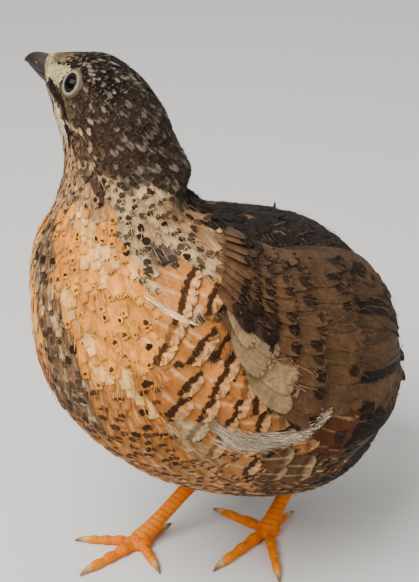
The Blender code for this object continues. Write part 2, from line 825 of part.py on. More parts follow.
def tail_vane(row, index, draw, collection):
    """One feather of the tail's fan, from its root in the core to its tip behind and below."""
    place = 2 * index / (row.count - 1) - 1
    spread = math.radians(row.spread * place)
    root = np.array([row.root_half_width * place, row.root[0], row.root[1] - row.arch * abs(place)])
    fall = math.radians(row.fall)
    length = row.length * (1 - row.rounding * place**2) * (1 + draw.uniform(-0.03, 0.03))
    onwards = np.array([
        math.sin(spread),
        math.cos(spread) * math.cos(fall),
        -math.cos(spread) * math.sin(fall),
    ])
    roll = math.radians(row.roof * place)
    upwards = np.array([math.sin(roll), math.cos(roll) * math.sin(fall), math.cos(roll) * math.cos(fall)])
    centres = []
    for part in vane_parts(row.sections):
        droop = row.droop * part**2
        centres.append(root + onwards * length * part - upwards * droop * row.facing)
    normals = [upwards * row.facing] * len(centres)
    return new_object("vane", vane_mesh("vane", centres, normals, row.width), None, collection)


def build_tail(parts, cutters):
    """The tail: a rounded core behind the rump, the tail feathers over it and coverts above and below."""
    draw = random.Random(TAIL_SEED)
    root = body_ring(TORSO_ENDS)
    away = ring_axis(root) * (1.0 if ring_axis(root)[1] > 0 else -1.0)
    middle = root.mean(axis=0)
    rings = [root + away * GAP]
    for part in TAIL_CORE_STEPS:
        shrink = math.sqrt(1 - (0.97 * part) ** 2)
        fall = np.array([0.0, 0.0, -TAIL_CORE_DROP * part**2])
        rings.append(middle + (root - middle) * shrink + away * (GAP + TAIL_CORE * part) + fall)
    tail = new_object("tail", loft("tail", rings), DARK_PLUMAGE, parts)
    vanes = []
    for row in TAIL_ROWS:
        for index in range(row.count):
            vanes.append(tail_vane(row, index, draw, cutters))
    boolean(tail, vanes, "UNION")


def place_on_origin(parts):
    """Parents the bird to an empty that sets the middle of its bounding box on the origin."""
    placing = bpy.data.objects.new("placing", None)
    placing.location = (0.0, -BOX_MIDDLE_BEHIND * MM, 0.0)
    for part in list(parts.objects):
        part.parent = placing
    parts.objects.link(placing)


def clear_scene():
    """Removes every object, so that the scene holds only the bird."""
    for old in list(bpy.data.objects):
        bpy.data.objects.remove(old)


def main():
    """Builds the bird."""
    clear_scene()
    parts = bpy.data.collections.new(OBJECT_NAME)
    cutters = bpy.data.collections.new("cutters")
    bpy.context.scene.collection.children.link(parts)
    bpy.context.scene.collection.children.link(cutters)
    cutters.hide_render = True
    build_torso(parts, cutters)
    new_object("neck", body_loft("neck", NECK_STARTS, HEAD_STARTS, 0.4), PLUMAGE, parts)
    build_head(parts, cutters)
    for side, word in ((1, "left"), (-1, "right")):
        build_wing(side, word, parts, cutters)
    build_tail(parts, cutters)
    for leg in (RIGHT_LEG, LEFT_LEG):
        build_leg(leg, parts, cutters)
    place_on_origin(parts)


main()
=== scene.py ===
"""A painted quail hen, standing alert with her head turned to her right, dressed feather by feather.

Lengths are in millimetres until a mesh is made. She faces -Y, her left side is +X, and she stands on Z = 0.
A place on her body is a station, from 0 at the tail to 17 at the bill, and an angle round it from the back.
"""

from __future__ import annotations

import logging
import math
from dataclasses import dataclass
from enum import Enum

import bmesh
import bpy
import numpy as np
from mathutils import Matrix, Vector

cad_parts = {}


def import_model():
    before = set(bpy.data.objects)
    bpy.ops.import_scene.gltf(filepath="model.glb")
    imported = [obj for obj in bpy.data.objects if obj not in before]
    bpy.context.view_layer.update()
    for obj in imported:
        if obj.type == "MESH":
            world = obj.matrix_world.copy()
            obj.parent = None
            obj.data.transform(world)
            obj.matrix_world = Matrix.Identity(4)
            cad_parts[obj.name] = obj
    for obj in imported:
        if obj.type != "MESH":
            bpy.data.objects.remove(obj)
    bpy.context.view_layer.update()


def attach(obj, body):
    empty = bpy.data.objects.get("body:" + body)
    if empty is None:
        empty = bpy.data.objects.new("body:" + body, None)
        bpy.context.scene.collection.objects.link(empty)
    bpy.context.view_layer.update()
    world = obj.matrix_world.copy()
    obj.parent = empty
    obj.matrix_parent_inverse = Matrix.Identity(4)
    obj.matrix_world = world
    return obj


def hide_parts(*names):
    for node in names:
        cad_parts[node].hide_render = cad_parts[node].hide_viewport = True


MM = 0.001
BOX_MIDDLE_BEHIND = 2.8
GROUND_SHIFT = np.array([0.0, -BOX_MIDDLE_BEHIND, 0.0])
UP = np.array([0.0, 0.0, 1.0])
LOG = logging.getLogger("painted_quail_hen")

Array = np.ndarray
Draw = np.random.Generator
Material = bpy.types.Material
Piece = bpy.types.Object
Socket = bpy.types.NodeSocket
Colour = tuple[float, float, float]
Spot = tuple[float, float, float]


def paint(red: int, green: int, blue: int) -> Colour:
    """The linear colour of a paint chip mixed from 0 to 255 a channel."""
    shares = [channel / 255 for channel in (red, green, blue)]
    return tuple(((s + 0.055) / 1.055) ** 2.4 if s > 0.04045 else s / 12.92 for s in shares)


def smooth_step(value: Array, low: float, high: float) -> Array:
    """Rises smoothly from 0 at low to 1 at high."""
    part = np.clip((value - low) / (high - low), 0.0, 1.0)
    return part * part * (3 - 2 * part)


def unit(vectors: Array) -> Array:
    """Vectors scaled to length one."""
    return vectors / np.maximum(np.linalg.norm(vectors, axis=-1, keepdims=True), 1e-9)


def travelled(path: Array) -> Array:
    """How far along a path each of its points is."""
    return np.concatenate([[0], np.cumsum(np.linalg.norm(np.diff(path, axis=0), axis=1))])


def from_back(around: Array) -> Array:
    """How many degrees from the middle of the back angles in radians are, on either side."""
    return np.abs((np.degrees(around) + 180) % 360 - 180)


def curve_rows(rows: Array, place: Array) -> Array:
    """Reads a smooth curve through equally spaced rows.

    Args:
        rows: The rows of numbers that the curve passes through.
        place: Where to read it, counted in rows.

    Returns:
        One row for each place.
    """
    last = len(rows) - 1
    low = np.clip(place.astype(int), 0, last - 1)
    part = (place - low)[..., None]
    before, first = rows[np.maximum(low - 1, 0)], rows[low]
    second, after = rows[low + 1], rows[np.minimum(low + 2, last)]
    return 0.5 * (
        2 * first
        + (second - before) * part
        + (2 * before - 5 * first + 4 * second - after) * part**2
        + (3 * first - before - 3 * second + after) * part**3
    )


# Shapes of the bird

HEAD_SPOT = (-10.8, -24.8)
HEAD_DEGREES = -78.0
LAST_STATION = 17.0


@dataclass(frozen=True)
class Station:
    """A cross-section of the body: an ellipse between a point on the back and one on the front.

    Both points are given as their reach ahead of the pivot and their height.
    """

    name: str
    back: tuple[float, float]
    front: tuple[float, float]
    half_width: float
    pivot: tuple[float, float] = (0.0, 0.0)
    turn: float = 0.0

    def row(self) -> list[float]:
        """The back point, front point, turn and half width in one row."""
        angle = math.radians(self.turn)
        ahead = (math.sin(angle), -math.cos(angle))
        row = []
        for reach, height in (self.back, self.front):
            row += [self.pivot[0] + ahead[0] * reach, self.pivot[1] + ahead[1] * reach, height]
        return [*row, self.turn, self.half_width]


STATIONS = (
    Station("tail end", (-42.6, 37.6), (-38.4, 29.6), 3.0),
    Station("vent", (-39.2, 48.5), (-33.2, 20.8), 10.6),
    Station("rump", (-32.8, 62.3), (-26.6, 13.6), 19.4),
    Station("loin", (-21.6, 73.6), (-16.0, 11.2), 28.0),
    Station("saddle", (-6.5, 80.0), (-3.0, 14.0), 33.0),
    Station("back", (3.5, 83.0), (11.0, 20.0), 32.5),
    Station("shoulder", (8.5, 85.0), (27.5, 31.0), 30.5),
    Station("breast", (11.0, 87.0), (41.0, 47.0), 26.5),
    Station("crop", (12.5, 89.5), (46.0, 63.5), 22.0),
    Station("neck root", (5.8, 92.2), (35.5, 78.5), 16.2, (-1.8, -8.4), -10.0),
    Station("low neck", (-13.4, 96.0), (13.2, 89.2), 12.6, (-5.2, -25.4), -30.0),
    Station("neck", (-11.4, 101.8), (10.2, 95.6), 10.6, (-7.6, -24.4), -52.0),
    Station("nape", (-10.4, 108.2), (9.2, 99.4), 9.2, (-9.4, -24.4), -68.0),
    Station("back of head", (-6.8, 114.2), (8.3, 101.2), 8.6, HEAD_SPOT, HEAD_DEGREES),
    Station("crown", (-0.2, 117.2), (9.0, 103.0), 7.5, HEAD_SPOT, HEAD_DEGREES),
    Station("brow", (5.6, 116.8), (9.6, 104.8), 5.7, HEAD_SPOT, HEAD_DEGREES),
    Station("forehead", (10.0, 116.0), (11.1, 107.3), 4.05, HEAD_SPOT, HEAD_DEGREES),
    Station("face", (12.9, 115.35), (11.6, 109.0), 2.35, HEAD_SPOT, HEAD_DEGREES),
)


class Form:
    """A surface that feathers grow on, addressed by a station and an angle round it."""

    first: float = 0.0
    last: float = 1.0
    most_turn: float = 1.2

    def surface(self, place: Array, around: Array) -> Array:
        """The points at these stations and angles in radians."""
        raise NotImplementedError

    def frames(self, place: Array, around: Array) -> tuple[Array, ...]:
        """The points, their two tangents and their outward normals."""
        step = 0.01
        place = np.clip(place, self.first + step, self.last - step)
        point = self.surface(place, around)
        along = (self.surface(place + step, around) - self.surface(place - step, around)) / (2 * step)
        across = (self.surface(place, around + step) - self.surface(place, around - step)) / (2 * step)
        return point, along, across, unit(np.cross(along, across))

    def lifted(self, place: Array, around: Array, lift: Array | float) -> Array:
        """The points at these places, raised off the surface by lift."""
        point, _, _, normal = self.frames(np.asarray(place, float), np.asarray(around, float))
        return point + normal * np.asarray(lift, float)[..., None]

    def shifted(
        self, place: Array, around: Array, offset: Array, along: Array, across: Array
    ) -> tuple[Array, Array]:
        """The station and angle that a small offset in space leads to.

        Args:
            place: The stations to start from.
            around: The angles to start from.
            offset: The offsets in space.
            along: The tangents of the stations there.
            across: The tangents of the angles there.

        Returns:
            The new stations and angles.
        """
        first, second = (along * along).sum(-1), (across * across).sum(-1)
        shared = (along * across).sum(-1)
        ahead, aside = (offset * along).sum(-1), (offset * across).sum(-1)
        area = np.maximum(first * second - shared * shared, 1e-6)
        place = np.clip(place + (ahead * second - aside * shared) / area, self.first, self.last)
        turned = (aside * first - ahead * shared) / area
        return place, around + np.clip(turned, -self.most_turn, self.most_turn)


class BodyForm(Form):
    """The outside of the torso, neck and head together."""

    first = 0.02
    last = 16.98

    def __init__(self) -> None:
        """Reads the stations."""
        self.rows = np.array([station.row() for station in STATIONS])

    def surface(self, place: Array, around: Array) -> Array:
        """The points of the body at these stations and angles."""
        row = curve_rows(self.rows, np.asarray(place, float))
        back, front, turn = row[..., :3], row[..., 3:6], np.radians(row[..., 6])
        left = np.stack([np.cos(turn), np.sin(turn), np.zeros_like(turn)], axis=-1)
        around = np.asarray(around, float)[..., None]
        sideways = np.sin(around) * row[..., 7:8] * left
        return (back + front) / 2 + np.cos(around) * (back - front) / 2 + sideways


class ThighForm(Form):
    """The feathered thigh, an egg from the knee in the flank down to the hock."""

    radii = (2.9, 4.6, 6.3, 7.2, 5.8, 2.0)
    below_hock = 0.8

    def __init__(self, hock: Spot, knee: Spot) -> None:
        """Sets the egg between the hock and the knee."""
        self.hock, self.knee = np.array(hock), np.array(knee)
        self.axis = unit(self.knee - self.hock)
        self.side = unit(np.cross(self.axis, (1.0, 0.0, 0.0)))
        self.up = np.cross(self.side, self.axis)
        self.sizes = np.array([[radius] for radius in self.radii])

    def surface(self, place: Array, around: Array) -> Array:
        """The points of the thigh, from the hock at 0 to the knee at 1."""
        place, around = np.broadcast_arrays(np.asarray(place, float), np.asarray(around, float))
        size = curve_rows(self.sizes, place * (len(self.radii) - 1))
        middle = self.hock - self.axis * self.below_hock + (self.knee - self.hock) * place[..., None]
        around = around[..., None]
        return middle + size * (np.cos(around) * self.side + np.sin(around) * self.up)


BODY = BodyForm()
HEAD_PIVOT = np.array([*HEAD_SPOT, 0.0])
HEAD_TURN = math.radians(HEAD_DEGREES)
HEAD_AHEAD = np.array([math.sin(HEAD_TURN), -math.cos(HEAD_TURN), 0.0])
HEAD_LEFT = np.array([math.cos(HEAD_TURN), math.sin(HEAD_TURN), 0.0])


def head_place(forward: float, side: float, height: float) -> Array:
    """A point given forwards and to the left of the head's pivot, and by its height."""
    return HEAD_PIVOT + HEAD_AHEAD * forward + HEAD_LEFT * side + np.array([0.0, 0.0, height])


@dataclass(frozen=True)
class EyePlace:
    """Where an eye sits in the head. side is 1 on the left and -1 on the right."""

    side: int
    station: float = 13.95
    around: float = 62.0
    depth: float = 2.3
    radius: float = 2.8
    opening_long: float = 1.3
    opening_tall: float = 1.98

    @property
    def centre(self) -> Array:
        """The middle of the eyeball."""
        return self.at(-self.depth)

    def at(self, lift: float) -> Array:
        """A point on the eye's own axis, by its height over the head's surface."""
        return BODY.lifted(np.array(self.station), np.array(self.side * math.radians(self.around)), lift)

    @property
    def axes(self) -> tuple[Array, Array, Array]:
        """The unit vectors outwards, forwards along the lids, and up."""
        outwards = unit(self.at(self.depth) - self.centre)
        along = unit(HEAD_AHEAD - outwards * (HEAD_AHEAD @ outwards))
        return outwards, along, np.cross(outwards, along)


EYES = (EyePlace(1), EyePlace(-1))


# Markings of the plumage


@dataclass(frozen=True)
class Marks:
    """How a feather is marked.

    spot is the chance of a dark spot near the tip, long and wide its half sizes as shares of the feather's
    length and half width. The next are strengths from 0 to 1: bar a dark band across, streak a dark stripe
    along the middle, shaft a pale line along it, fine thin wavy pale lines, and edge a pale tip. fleck is
    the chance that the whole feather is pale.
    """

    spot: float = 0.0
    long: float = 0.10
    wide: float = 0.34
    bar: float = 0.0
    streak: float = 0.0
    shaft: float = 0.0
    fine: float = 0.0
    edge: float = 0.0
    fleck: float = 0.0


INK = paint(34, 18, 9)
SOFT_INK = paint(56, 34, 18)
BLUE_INK = paint(38, 34, 34)
BLACK_BROWN = paint(20, 14, 9)
REAR_BROWN = paint(26, 16, 8)
DARK_BROWN = paint(56, 41, 29)
HEAD_BROWN = paint(48, 37, 28)
TAUPE = paint(78, 55, 35)
WARM_BROWN = paint(92, 64, 40)
MANTLE_BROWN = paint(148, 112, 74)
OLIVE_TAN = paint(90, 72, 51)
# Painted shade: the low belly's buff is darkened for the shade under the tail.
SHADED_LOW_BELLY_BUFF = paint(92, 60, 30)
BROWN_BUFF = paint(168, 112, 60)
RED_BUFF = paint(170, 106, 46)
ORANGE_TAN = paint(182, 112, 50)
BUFF = paint(218, 140, 54)
PALE_BUFF = paint(246, 208, 154)
STREAK_BUFF = paint(232, 176, 106)
BROW_TAN = paint(126, 110, 78)
BREAST_BROWN = paint(112, 82, 54)
NECK_BUFF = paint(166, 124, 82)
NECK_BROWN = paint(84, 63, 46)
GREY_BUFF = paint(176, 143, 102)
DIM_BUFF = paint(124, 98, 74)
WING_CREAM = paint(152, 122, 86)
SILVER = paint(120, 106, 88)
FINE_BUFF = paint(112, 84, 55)
CREAM = paint(204, 186, 138)
OFF_WHITE = paint(214, 194, 164)
RUST = paint(82, 42, 17)
DASH = (0.075, 0.66)
BLOT = (0.15, 0.7)


@dataclass(frozen=True)
class Zone:
    """A part of the plumage with one ground colour and one set of marks, on both sides alike."""

    name: str
    stations: tuple[float, float]
    around: tuple[float, float]
    ground: Colour
    marks: Marks
    ink: Colour = INK
    pale: Colour = PALE_BUFF
    soft: tuple[float, float] = (0.25, 5.0)


ZONES = (
    Zone("body", (-1.0, 19.0), (-20.0, 200.0), BROWN_BUFF, Marks(0.3, *DASH, shaft=0.3)),
    Zone("neck", (9.0, 13.0), (-20.0, 200.0), NECK_BROWN, Marks(0.3, *DASH, streak=0.4), pale=SILVER),
    Zone("head", (12.6, 19.0), (-20.0, 104.0), OLIVE_TAN, Marks(streak=0.2, edge=0.2), pale=SILVER),
    Zone("belly", (5.6, 6.9), (100.0, 200.0), BROWN_BUFF, Marks(0.75, *DASH, shaft=0.25, edge=0.25),
         SOFT_INK),
    # The low belly's darker buff is painted shade under the tail.
    Zone("low belly", (2.0, 5.6), (100.0, 200.0), SHADED_LOW_BELLY_BUFF, Marks(0.7, *DASH, shaft=0.3), soft=(0.6, 7.0)),
    Zone("lower breast", (6.5, 8.0), (116.0, 200.0), RED_BUFF, Marks(0.75, *DASH, shaft=0.2),
         soft=(0.45, 6.0)),
    Zone("breast", (7.9, 10.3), (100.0, 166.0), BUFF, Marks(0.36, 0.06, 0.26, shaft=0.15), soft=(0.3, 5.0)),
    Zone("breast middle", (7.0, 10.2), (165.0, 200.0), BREAST_BROWN,
         Marks(0.85, 0.11, 0.55, shaft=0.3, edge=0.3)),
    Zone("flank", (6.0, 8.3), (86.0, 122.0), ORANGE_TAN, Marks(0.25, *DASH, shaft=0.2), soft=(0.25, 4.0)),
    Zone("shoulder band", (7.9, 10.8), (56.0, 104.0), GREY_BUFF,
         Marks(0.8, 0.11, 0.5, shaft=0.3, edge=0.35)),
    Zone("dark shoulder", (8.2, 9.0), (77.0, 92.0), DIM_BUFF, Marks(0.95, *BLOT, streak=0.5), BLUE_INK,
         OFF_WHITE),
    Zone("mantle side", (7.2, 9.8), (26.0, 64.0), MANTLE_BROWN,
         Marks(0.75, 0.12, 0.45, shaft=0.25, edge=0.15)),
    Zone("wing", (0.5, 7.6), (20.0, 100.0), TAUPE, Marks(0.6, 0.07, 0.4, shaft=0.15, fine=0.3),
         pale=FINE_BUFF),
    Zone("spotted coverts", (5.2, 7.9), (44.0, 74.0), WARM_BROWN, Marks(0.95, 0.11, 0.5, fine=0.25),
         pale=FINE_BUFF),
    Zone("dark wrist", (6.5, 7.3), (64.0, 75.0), DARK_BROWN, Marks(0.9, *BLOT), soft=(0.2, 3.0)),
    Zone("pale coverts", (5.4, 7.2), (73.0, 90.0), WING_CREAM, Marks(0.3, 0.05, 0.3, fine=0.4), pale=TAUPE,
         soft=(0.5, 6.0)),
    Zone("rear coverts", (3.0, 5.6), (52.0, 98.0), WARM_BROWN, Marks(0.5, 0.06, 0.4, fine=0.3),
         pale=FINE_BUFF, soft=(0.5, 8.0)),
    Zone("back", (0.5, 9.4), (-20.0, 36.0), BLACK_BROWN, Marks(0.2, *BLOT, fine=0.4, fleck=0.05),
         pale=FINE_BUFF),
    Zone("rear", (-1.0, 2.4), (16.0, 120.0), REAR_BROWN, Marks(shaft=0.35, fleck=0.05), pale=TAUPE,
         soft=(0.9, 12.0)),
    Zone("rear flank", (-1.0, 4.2), (88.0, 130.0), REAR_BROWN, Marks(shaft=0.35, edge=0.1), pale=TAUPE,
         soft=(0.5, 6.0)),
    Zone("vent", (-1.0, 2.6), (118.0, 200.0), DARK_BROWN, Marks(0.3, *DASH, shaft=0.3, edge=0.3)),
    Zone("rusty patch", (4.3, 5.2), (90.0, 106.0), RUST, Marks(0.3, *DASH, shaft=0.2), soft=(0.2, 4.0)),
    Zone("neck front", (10.0, 12.6), (114.0, 200.0), NECK_BUFF, Marks(0.4, 0.12, 0.4, shaft=0.3, edge=0.3)),
    Zone("neck side", (10.8, 12.5), (62.0, 118.0), NECK_BROWN,
         Marks(0.5, 0.15, 0.5, streak=0.5, edge=0.4, fleck=0.14),
         pale=GREY_BUFF),
    Zone("neck grey", (10.4, 12.9), (40.0, 88.0), DARK_BROWN, Marks(streak=0.5, edge=0.35, fleck=0.12),
         pale=SILVER),
    Zone("nape", (9.1, 13.2), (-20.0, 54.0), HEAD_BROWN, Marks(streak=0.6, edge=0.4, fleck=0.22),
         pale=SILVER),
    Zone("crown", (12.7, 15.6), (-20.0, 64.0), BLACK_BROWN, Marks(0.4, *BLOT, edge=0.5, fleck=0.2),
         pale=SILVER),
    Zone("behind the eye", (12.6, 13.6), (48.0, 80.0), DARK_BROWN,
         Marks(0.4, *BLOT, edge=0.4, fleck=0.12), pale=SILVER),
    Zone("throat", (12.2, 17.5), (104.0, 200.0), OFF_WHITE, Marks(edge=0.2), soft=(0.2, 5.0)),
    Zone("lores", (14.5, 17.5), (40.0, 92.0), CREAM, Marks(streak=0.15), soft=(0.2, 5.0)),
    Zone("forehead", (15.7, 17.5), (-20.0, 60.0), CREAM, Marks(streak=0.3), soft=(0.3, 6.0)),
    Zone("brow", (14.9, 16.2), (-20.0, 40.0), BROW_TAN, Marks(0.3, *BLOT, edge=0.3), soft=(0.3, 8.0)),
)


@dataclass(frozen=True)
class Stripe:
    """A narrow stripe of one colour along a few places of the plumage, the same on both sides."""

    name: str
    places: tuple[tuple[float, float], ...]
    half_width: float
    ground: Colour
    chance: float = 1.0


STRIPES = (
    Stripe("malar stripe", ((15.4, 83.0), (14.6, 88.0), (13.4, 94.0), (12.8, 105.0), (12.0, 119.0)), 0.85,
           INK),
    Stripe("ear edge", ((12.9, 101.0), (12.5, 99.0), (12.25, 92.0), (12.25, 82.0), (12.5, 71.0)), 0.4,
           GREY_BUFF),
    Stripe("upper breast streak", ((10.2, 133.0), (9.75, 132.0), (9.3, 132.0)), 1.0, STREAK_BUFF, 0.85),
    Stripe("breast streak", ((9.35, 126.0), (9.0, 128.0), (8.75, 132.0)), 0.9, STREAK_BUFF, 0.85),
    Stripe("centre streak", ((8.9, 157.0), (8.5, 155.0), (8.15, 153.0), (7.8, 149.0)), 0.9, STREAK_BUFF,
           0.8),
    Stripe("side streak", ((9.4, 120.0), (9.1, 112.0), (8.75, 107.0)), 1.0, STREAK_BUFF, 0.7),
    Stripe("edge streak", ((9.3, 162.0), (8.9, 167.0), (8.4, 174.0)), 0.9, GREY_BUFF, 0.6),
    Stripe("low streak", ((8.1, 150.0), (7.75, 142.0), (7.45, 136.0), (7.15, 130.0)), 0.9, STREAK_BUFF,
           0.6),
    Stripe("flank line", ((7.15, 130.0), (6.7, 131.0), (6.3, 130.0)), 1.0, GREY_BUFF, 0.6),
)


class Plumage:
    """Colours and marks of every place of the plumage, from the zones and stripes."""

    plain = tuple(vars(Marks(wide=0.1)).values())
    brightness_spread = 0.09
    colour_spread = 0.03

    def __init__(self, seed: int) -> None:
        """Starts the draw that dithers the zones into one another."""
        self.draw = np.random.default_rng(seed)

    def shares(self, zone: Zone, station: Array, degrees: Array) -> Array:
        """How far each place lies inside a zone, from 0 to 1."""
        edge, turn = zone.soft
        along = smooth_step(station, zone.stations[0] - edge, zone.stations[0] + edge)
        along *= 1 - smooth_step(station, zone.stations[1] - edge, zone.stations[1] + edge)
        across = smooth_step(degrees, zone.around[0] - turn, zone.around[0] + turn)
        return along * across * (1 - smooth_step(degrees, zone.around[1] - turn, zone.around[1] + turn))

    def stripe_share(self, stripe: Stripe, points: Array, sides: Array) -> Array:
        """How near points are to a stripe, 1 on its line and 0 outside it."""
        places = np.array(stripe.places)
        line = curve_rows(places, np.linspace(0, len(places) - 1, 5 * len(places)))
        best = np.full(len(points), np.inf)
        for side in (1, -1):
            path = BODY.surface(line[:, 0], side * np.radians(line[:, 1]))
            gap = np.linalg.norm(points[:, None] - path[None], axis=2).min(axis=1)
            best = np.where(sides == side, gap, best)
        return 1 - smooth_step(best, stripe.half_width * 0.7, stripe.half_width * 1.3)

    def pick(self, station: Array, around: Array) -> dict[str, Array]:
        """Draws each feather's colours and marks.

        Args:
            station: The feathers' stations, where they show.
            around: Their angles in radians.

        Returns:
            Arrays named ground, ink, pale, marks_a, marks_b and marks_c, one row a feather.
        """
        count = len(station)
        degrees = from_back(around)
        chosen = np.zeros(count, int)
        for index, zone in enumerate(ZONES):
            chosen = np.where(self.draw.random(count) < self.shares(zone, station, degrees), index, chosen)
        ground = np.array([zone.ground for zone in ZONES])[chosen]
        ink = np.array([zone.ink for zone in ZONES])[chosen]
        pale = np.array([zone.pale for zone in ZONES])[chosen]
        marks = np.array([list(vars(zone.marks).values()) for zone in ZONES])[chosen]
        points = BODY.surface(station, around)
        for stripe in STRIPES:
            share = self.stripe_share(stripe, points, np.sign(around)) * stripe.chance
            hit = self.draw.random(count) < share
            ground[hit] = stripe.ground
            marks[hit] = self.plain
        flecked = (self.draw.random(count) < marks[:, 8])[:, None]
        ground = np.where(flecked, pale, ground)
        tone = self.draw.normal(0.0, 1.0, (count, 1))
        tint = self.draw.normal(0.0, 1.0, (count, 3))
        ground = ground * np.exp(self.brightness_spread * tone + self.colour_spread * tint)
        spot = (self.draw.random(count) < marks[:, 0]) * (0.8 + 0.2 * self.draw.random(count))
        long, wide = (marks[:, 1 + i] * (0.75 + 0.5 * self.draw.random(count)) for i in range(2))
        wild = 0.5 + 1.0 * self.draw.random((count, 5))
        bar, streak, shaft, fine, edge = (np.clip(marks[:, 3 + i] * wild[:, i], 0, 1) for i in range(5))
        return {
            "ground": np.clip(ground, 0, 1),
            "ink": ink,
            "pale": pale,
            "marks_a": np.stack([spot, long, wide], axis=1),
            "marks_b": np.stack([bar, streak, shaft], axis=1),
            "marks_c": np.stack([fine, edge, self.draw.random(count)], axis=1),
        }

    def blend(self, station: Array, around: Array) -> Array:
        """The ground colour of the skin at each place, with its marks mixed in."""
        degrees = from_back(around)
        colour = np.zeros((len(station), 3))
        for zone in ZONES:
            dark = min(0.4, 0.2 * (zone.marks.spot + zone.marks.bar + zone.marks.streak))
            mixed = np.array(zone.ground) * (1 - dark) + np.array(zone.ink) * dark
            share = self.shares(zone, station, degrees)[:, None]
            colour = colour * (1 - share) + mixed * share
        return colour


# Meshes


def placed(name: str, data: bpy.types.ID) -> Piece:
    """A new object with this data, in the scene."""
    made = bpy.data.objects.new(name, data)
    bpy.context.scene.collection.objects.link(made)
    return made


class Sheet:
    """Triangles of one piece with what each corner carries."""

    def __init__(self, points: Array, triangles: Array) -> None:
        """Takes the corners in millimetres and the triangles."""
        self.points = points.reshape(-1, 3)
        self.triangles = triangles.reshape(-1, 3)
        self.maps: dict[str, Array] = {}
        self.values: dict[str, Array] = {}

    def build(self, name: str, material: Material) -> Piece:
        """Makes the piece.

        Args:
            name: The piece's name.
            material: Its finish.

        Returns:
            The object, in metres at the bird's own place.
        """
        mesh = bpy.data.meshes.new(name)
        count, corners = len(self.triangles), self.triangles.ravel()
        mesh.vertices.add(len(self.points))
        mesh.vertices.foreach_set("co", ((self.points + GROUND_SHIFT) * MM).astype(np.float32).ravel())
        mesh.loops.add(3 * count)
        mesh.loops.foreach_set("vertex_index", corners.astype(np.int32))
        mesh.polygons.add(count)
        mesh.polygons.foreach_set("loop_start", np.arange(0, 3 * count, 3, dtype=np.int32))
        mesh.update(calc_edges=True)
        for label, places in self.maps.items():
            layer = mesh.uv_layers.new(name=label)
            layer.uv.foreach_set("vector", places[corners].astype(np.float32).ravel())
        for label, rows in self.values.items():
            attribute = mesh.attributes.new(label, "FLOAT_VECTOR", "POINT")
            attribute.data.foreach_set("vector", rows.astype(np.float32).ravel())
        mesh.shade_smooth()
        mesh.materials.append(material)
        return placed(name, mesh)


def dressed(piece: Piece, slot: str, *nodes: str) -> Piece:
    """Sets a piece on the bird's body and hides the solids that it stands for."""
    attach(piece, "root")
    if nodes:
        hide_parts(*nodes)
    LOG.info("%s: %d faces", piece.name, len(piece.data.polygons))
    return piece


def ring_faces(rings: int, sides: int) -> Array:
    """The triangles between rings of corners, each ring joined to the next."""
    faces = []
    for row in range(rings - 1):
        for i in range(sides):
            j = (i + 1) % sides
            a, b, c, d = row * sides + i, row * sides + j, (row + 1) * sides + j, (row + 1) * sides + i
            faces += [(a, b, c), (a, c, d)]
    return np.array(faces)


def capped(rings: Array) -> tuple[Array, Array]:
    """A closed surface through rings of corners, with a fan at each end."""
    count, sides = rings.shape[:2]
    points = np.concatenate([rings.reshape(-1, 3), [rings[0].mean(0)], [rings[-1].mean(0)]])
    first, last = count * sides, count * sides + 1
    fans = []
    for i in range(sides):
        j = (i + 1) % sides
        fans += [(first, j, i), (last, (count - 1) * sides + i, (count - 1) * sides + j)]
    return points, np.concatenate([ring_faces(count, sides), np.array(fans)])


def tube(path: Array, radii: Array, sides: int, upright: Array, tall: float = 1.0) -> Array:
    """Rings of corners round a path."""
    onwards = unit(np.gradient(path, axis=0))
    across = unit(np.cross(onwards, upright))
    above = np.cross(across, onwards)
    angles = np.linspace(0, math.tau, sides, endpoint=False)[None, :, None]
    spokes = np.cos(angles) * across[:, None] + tall * np.sin(angles) * above[:, None]
    return path[:, None] + radii[:, None, None] * spokes


# Finishes


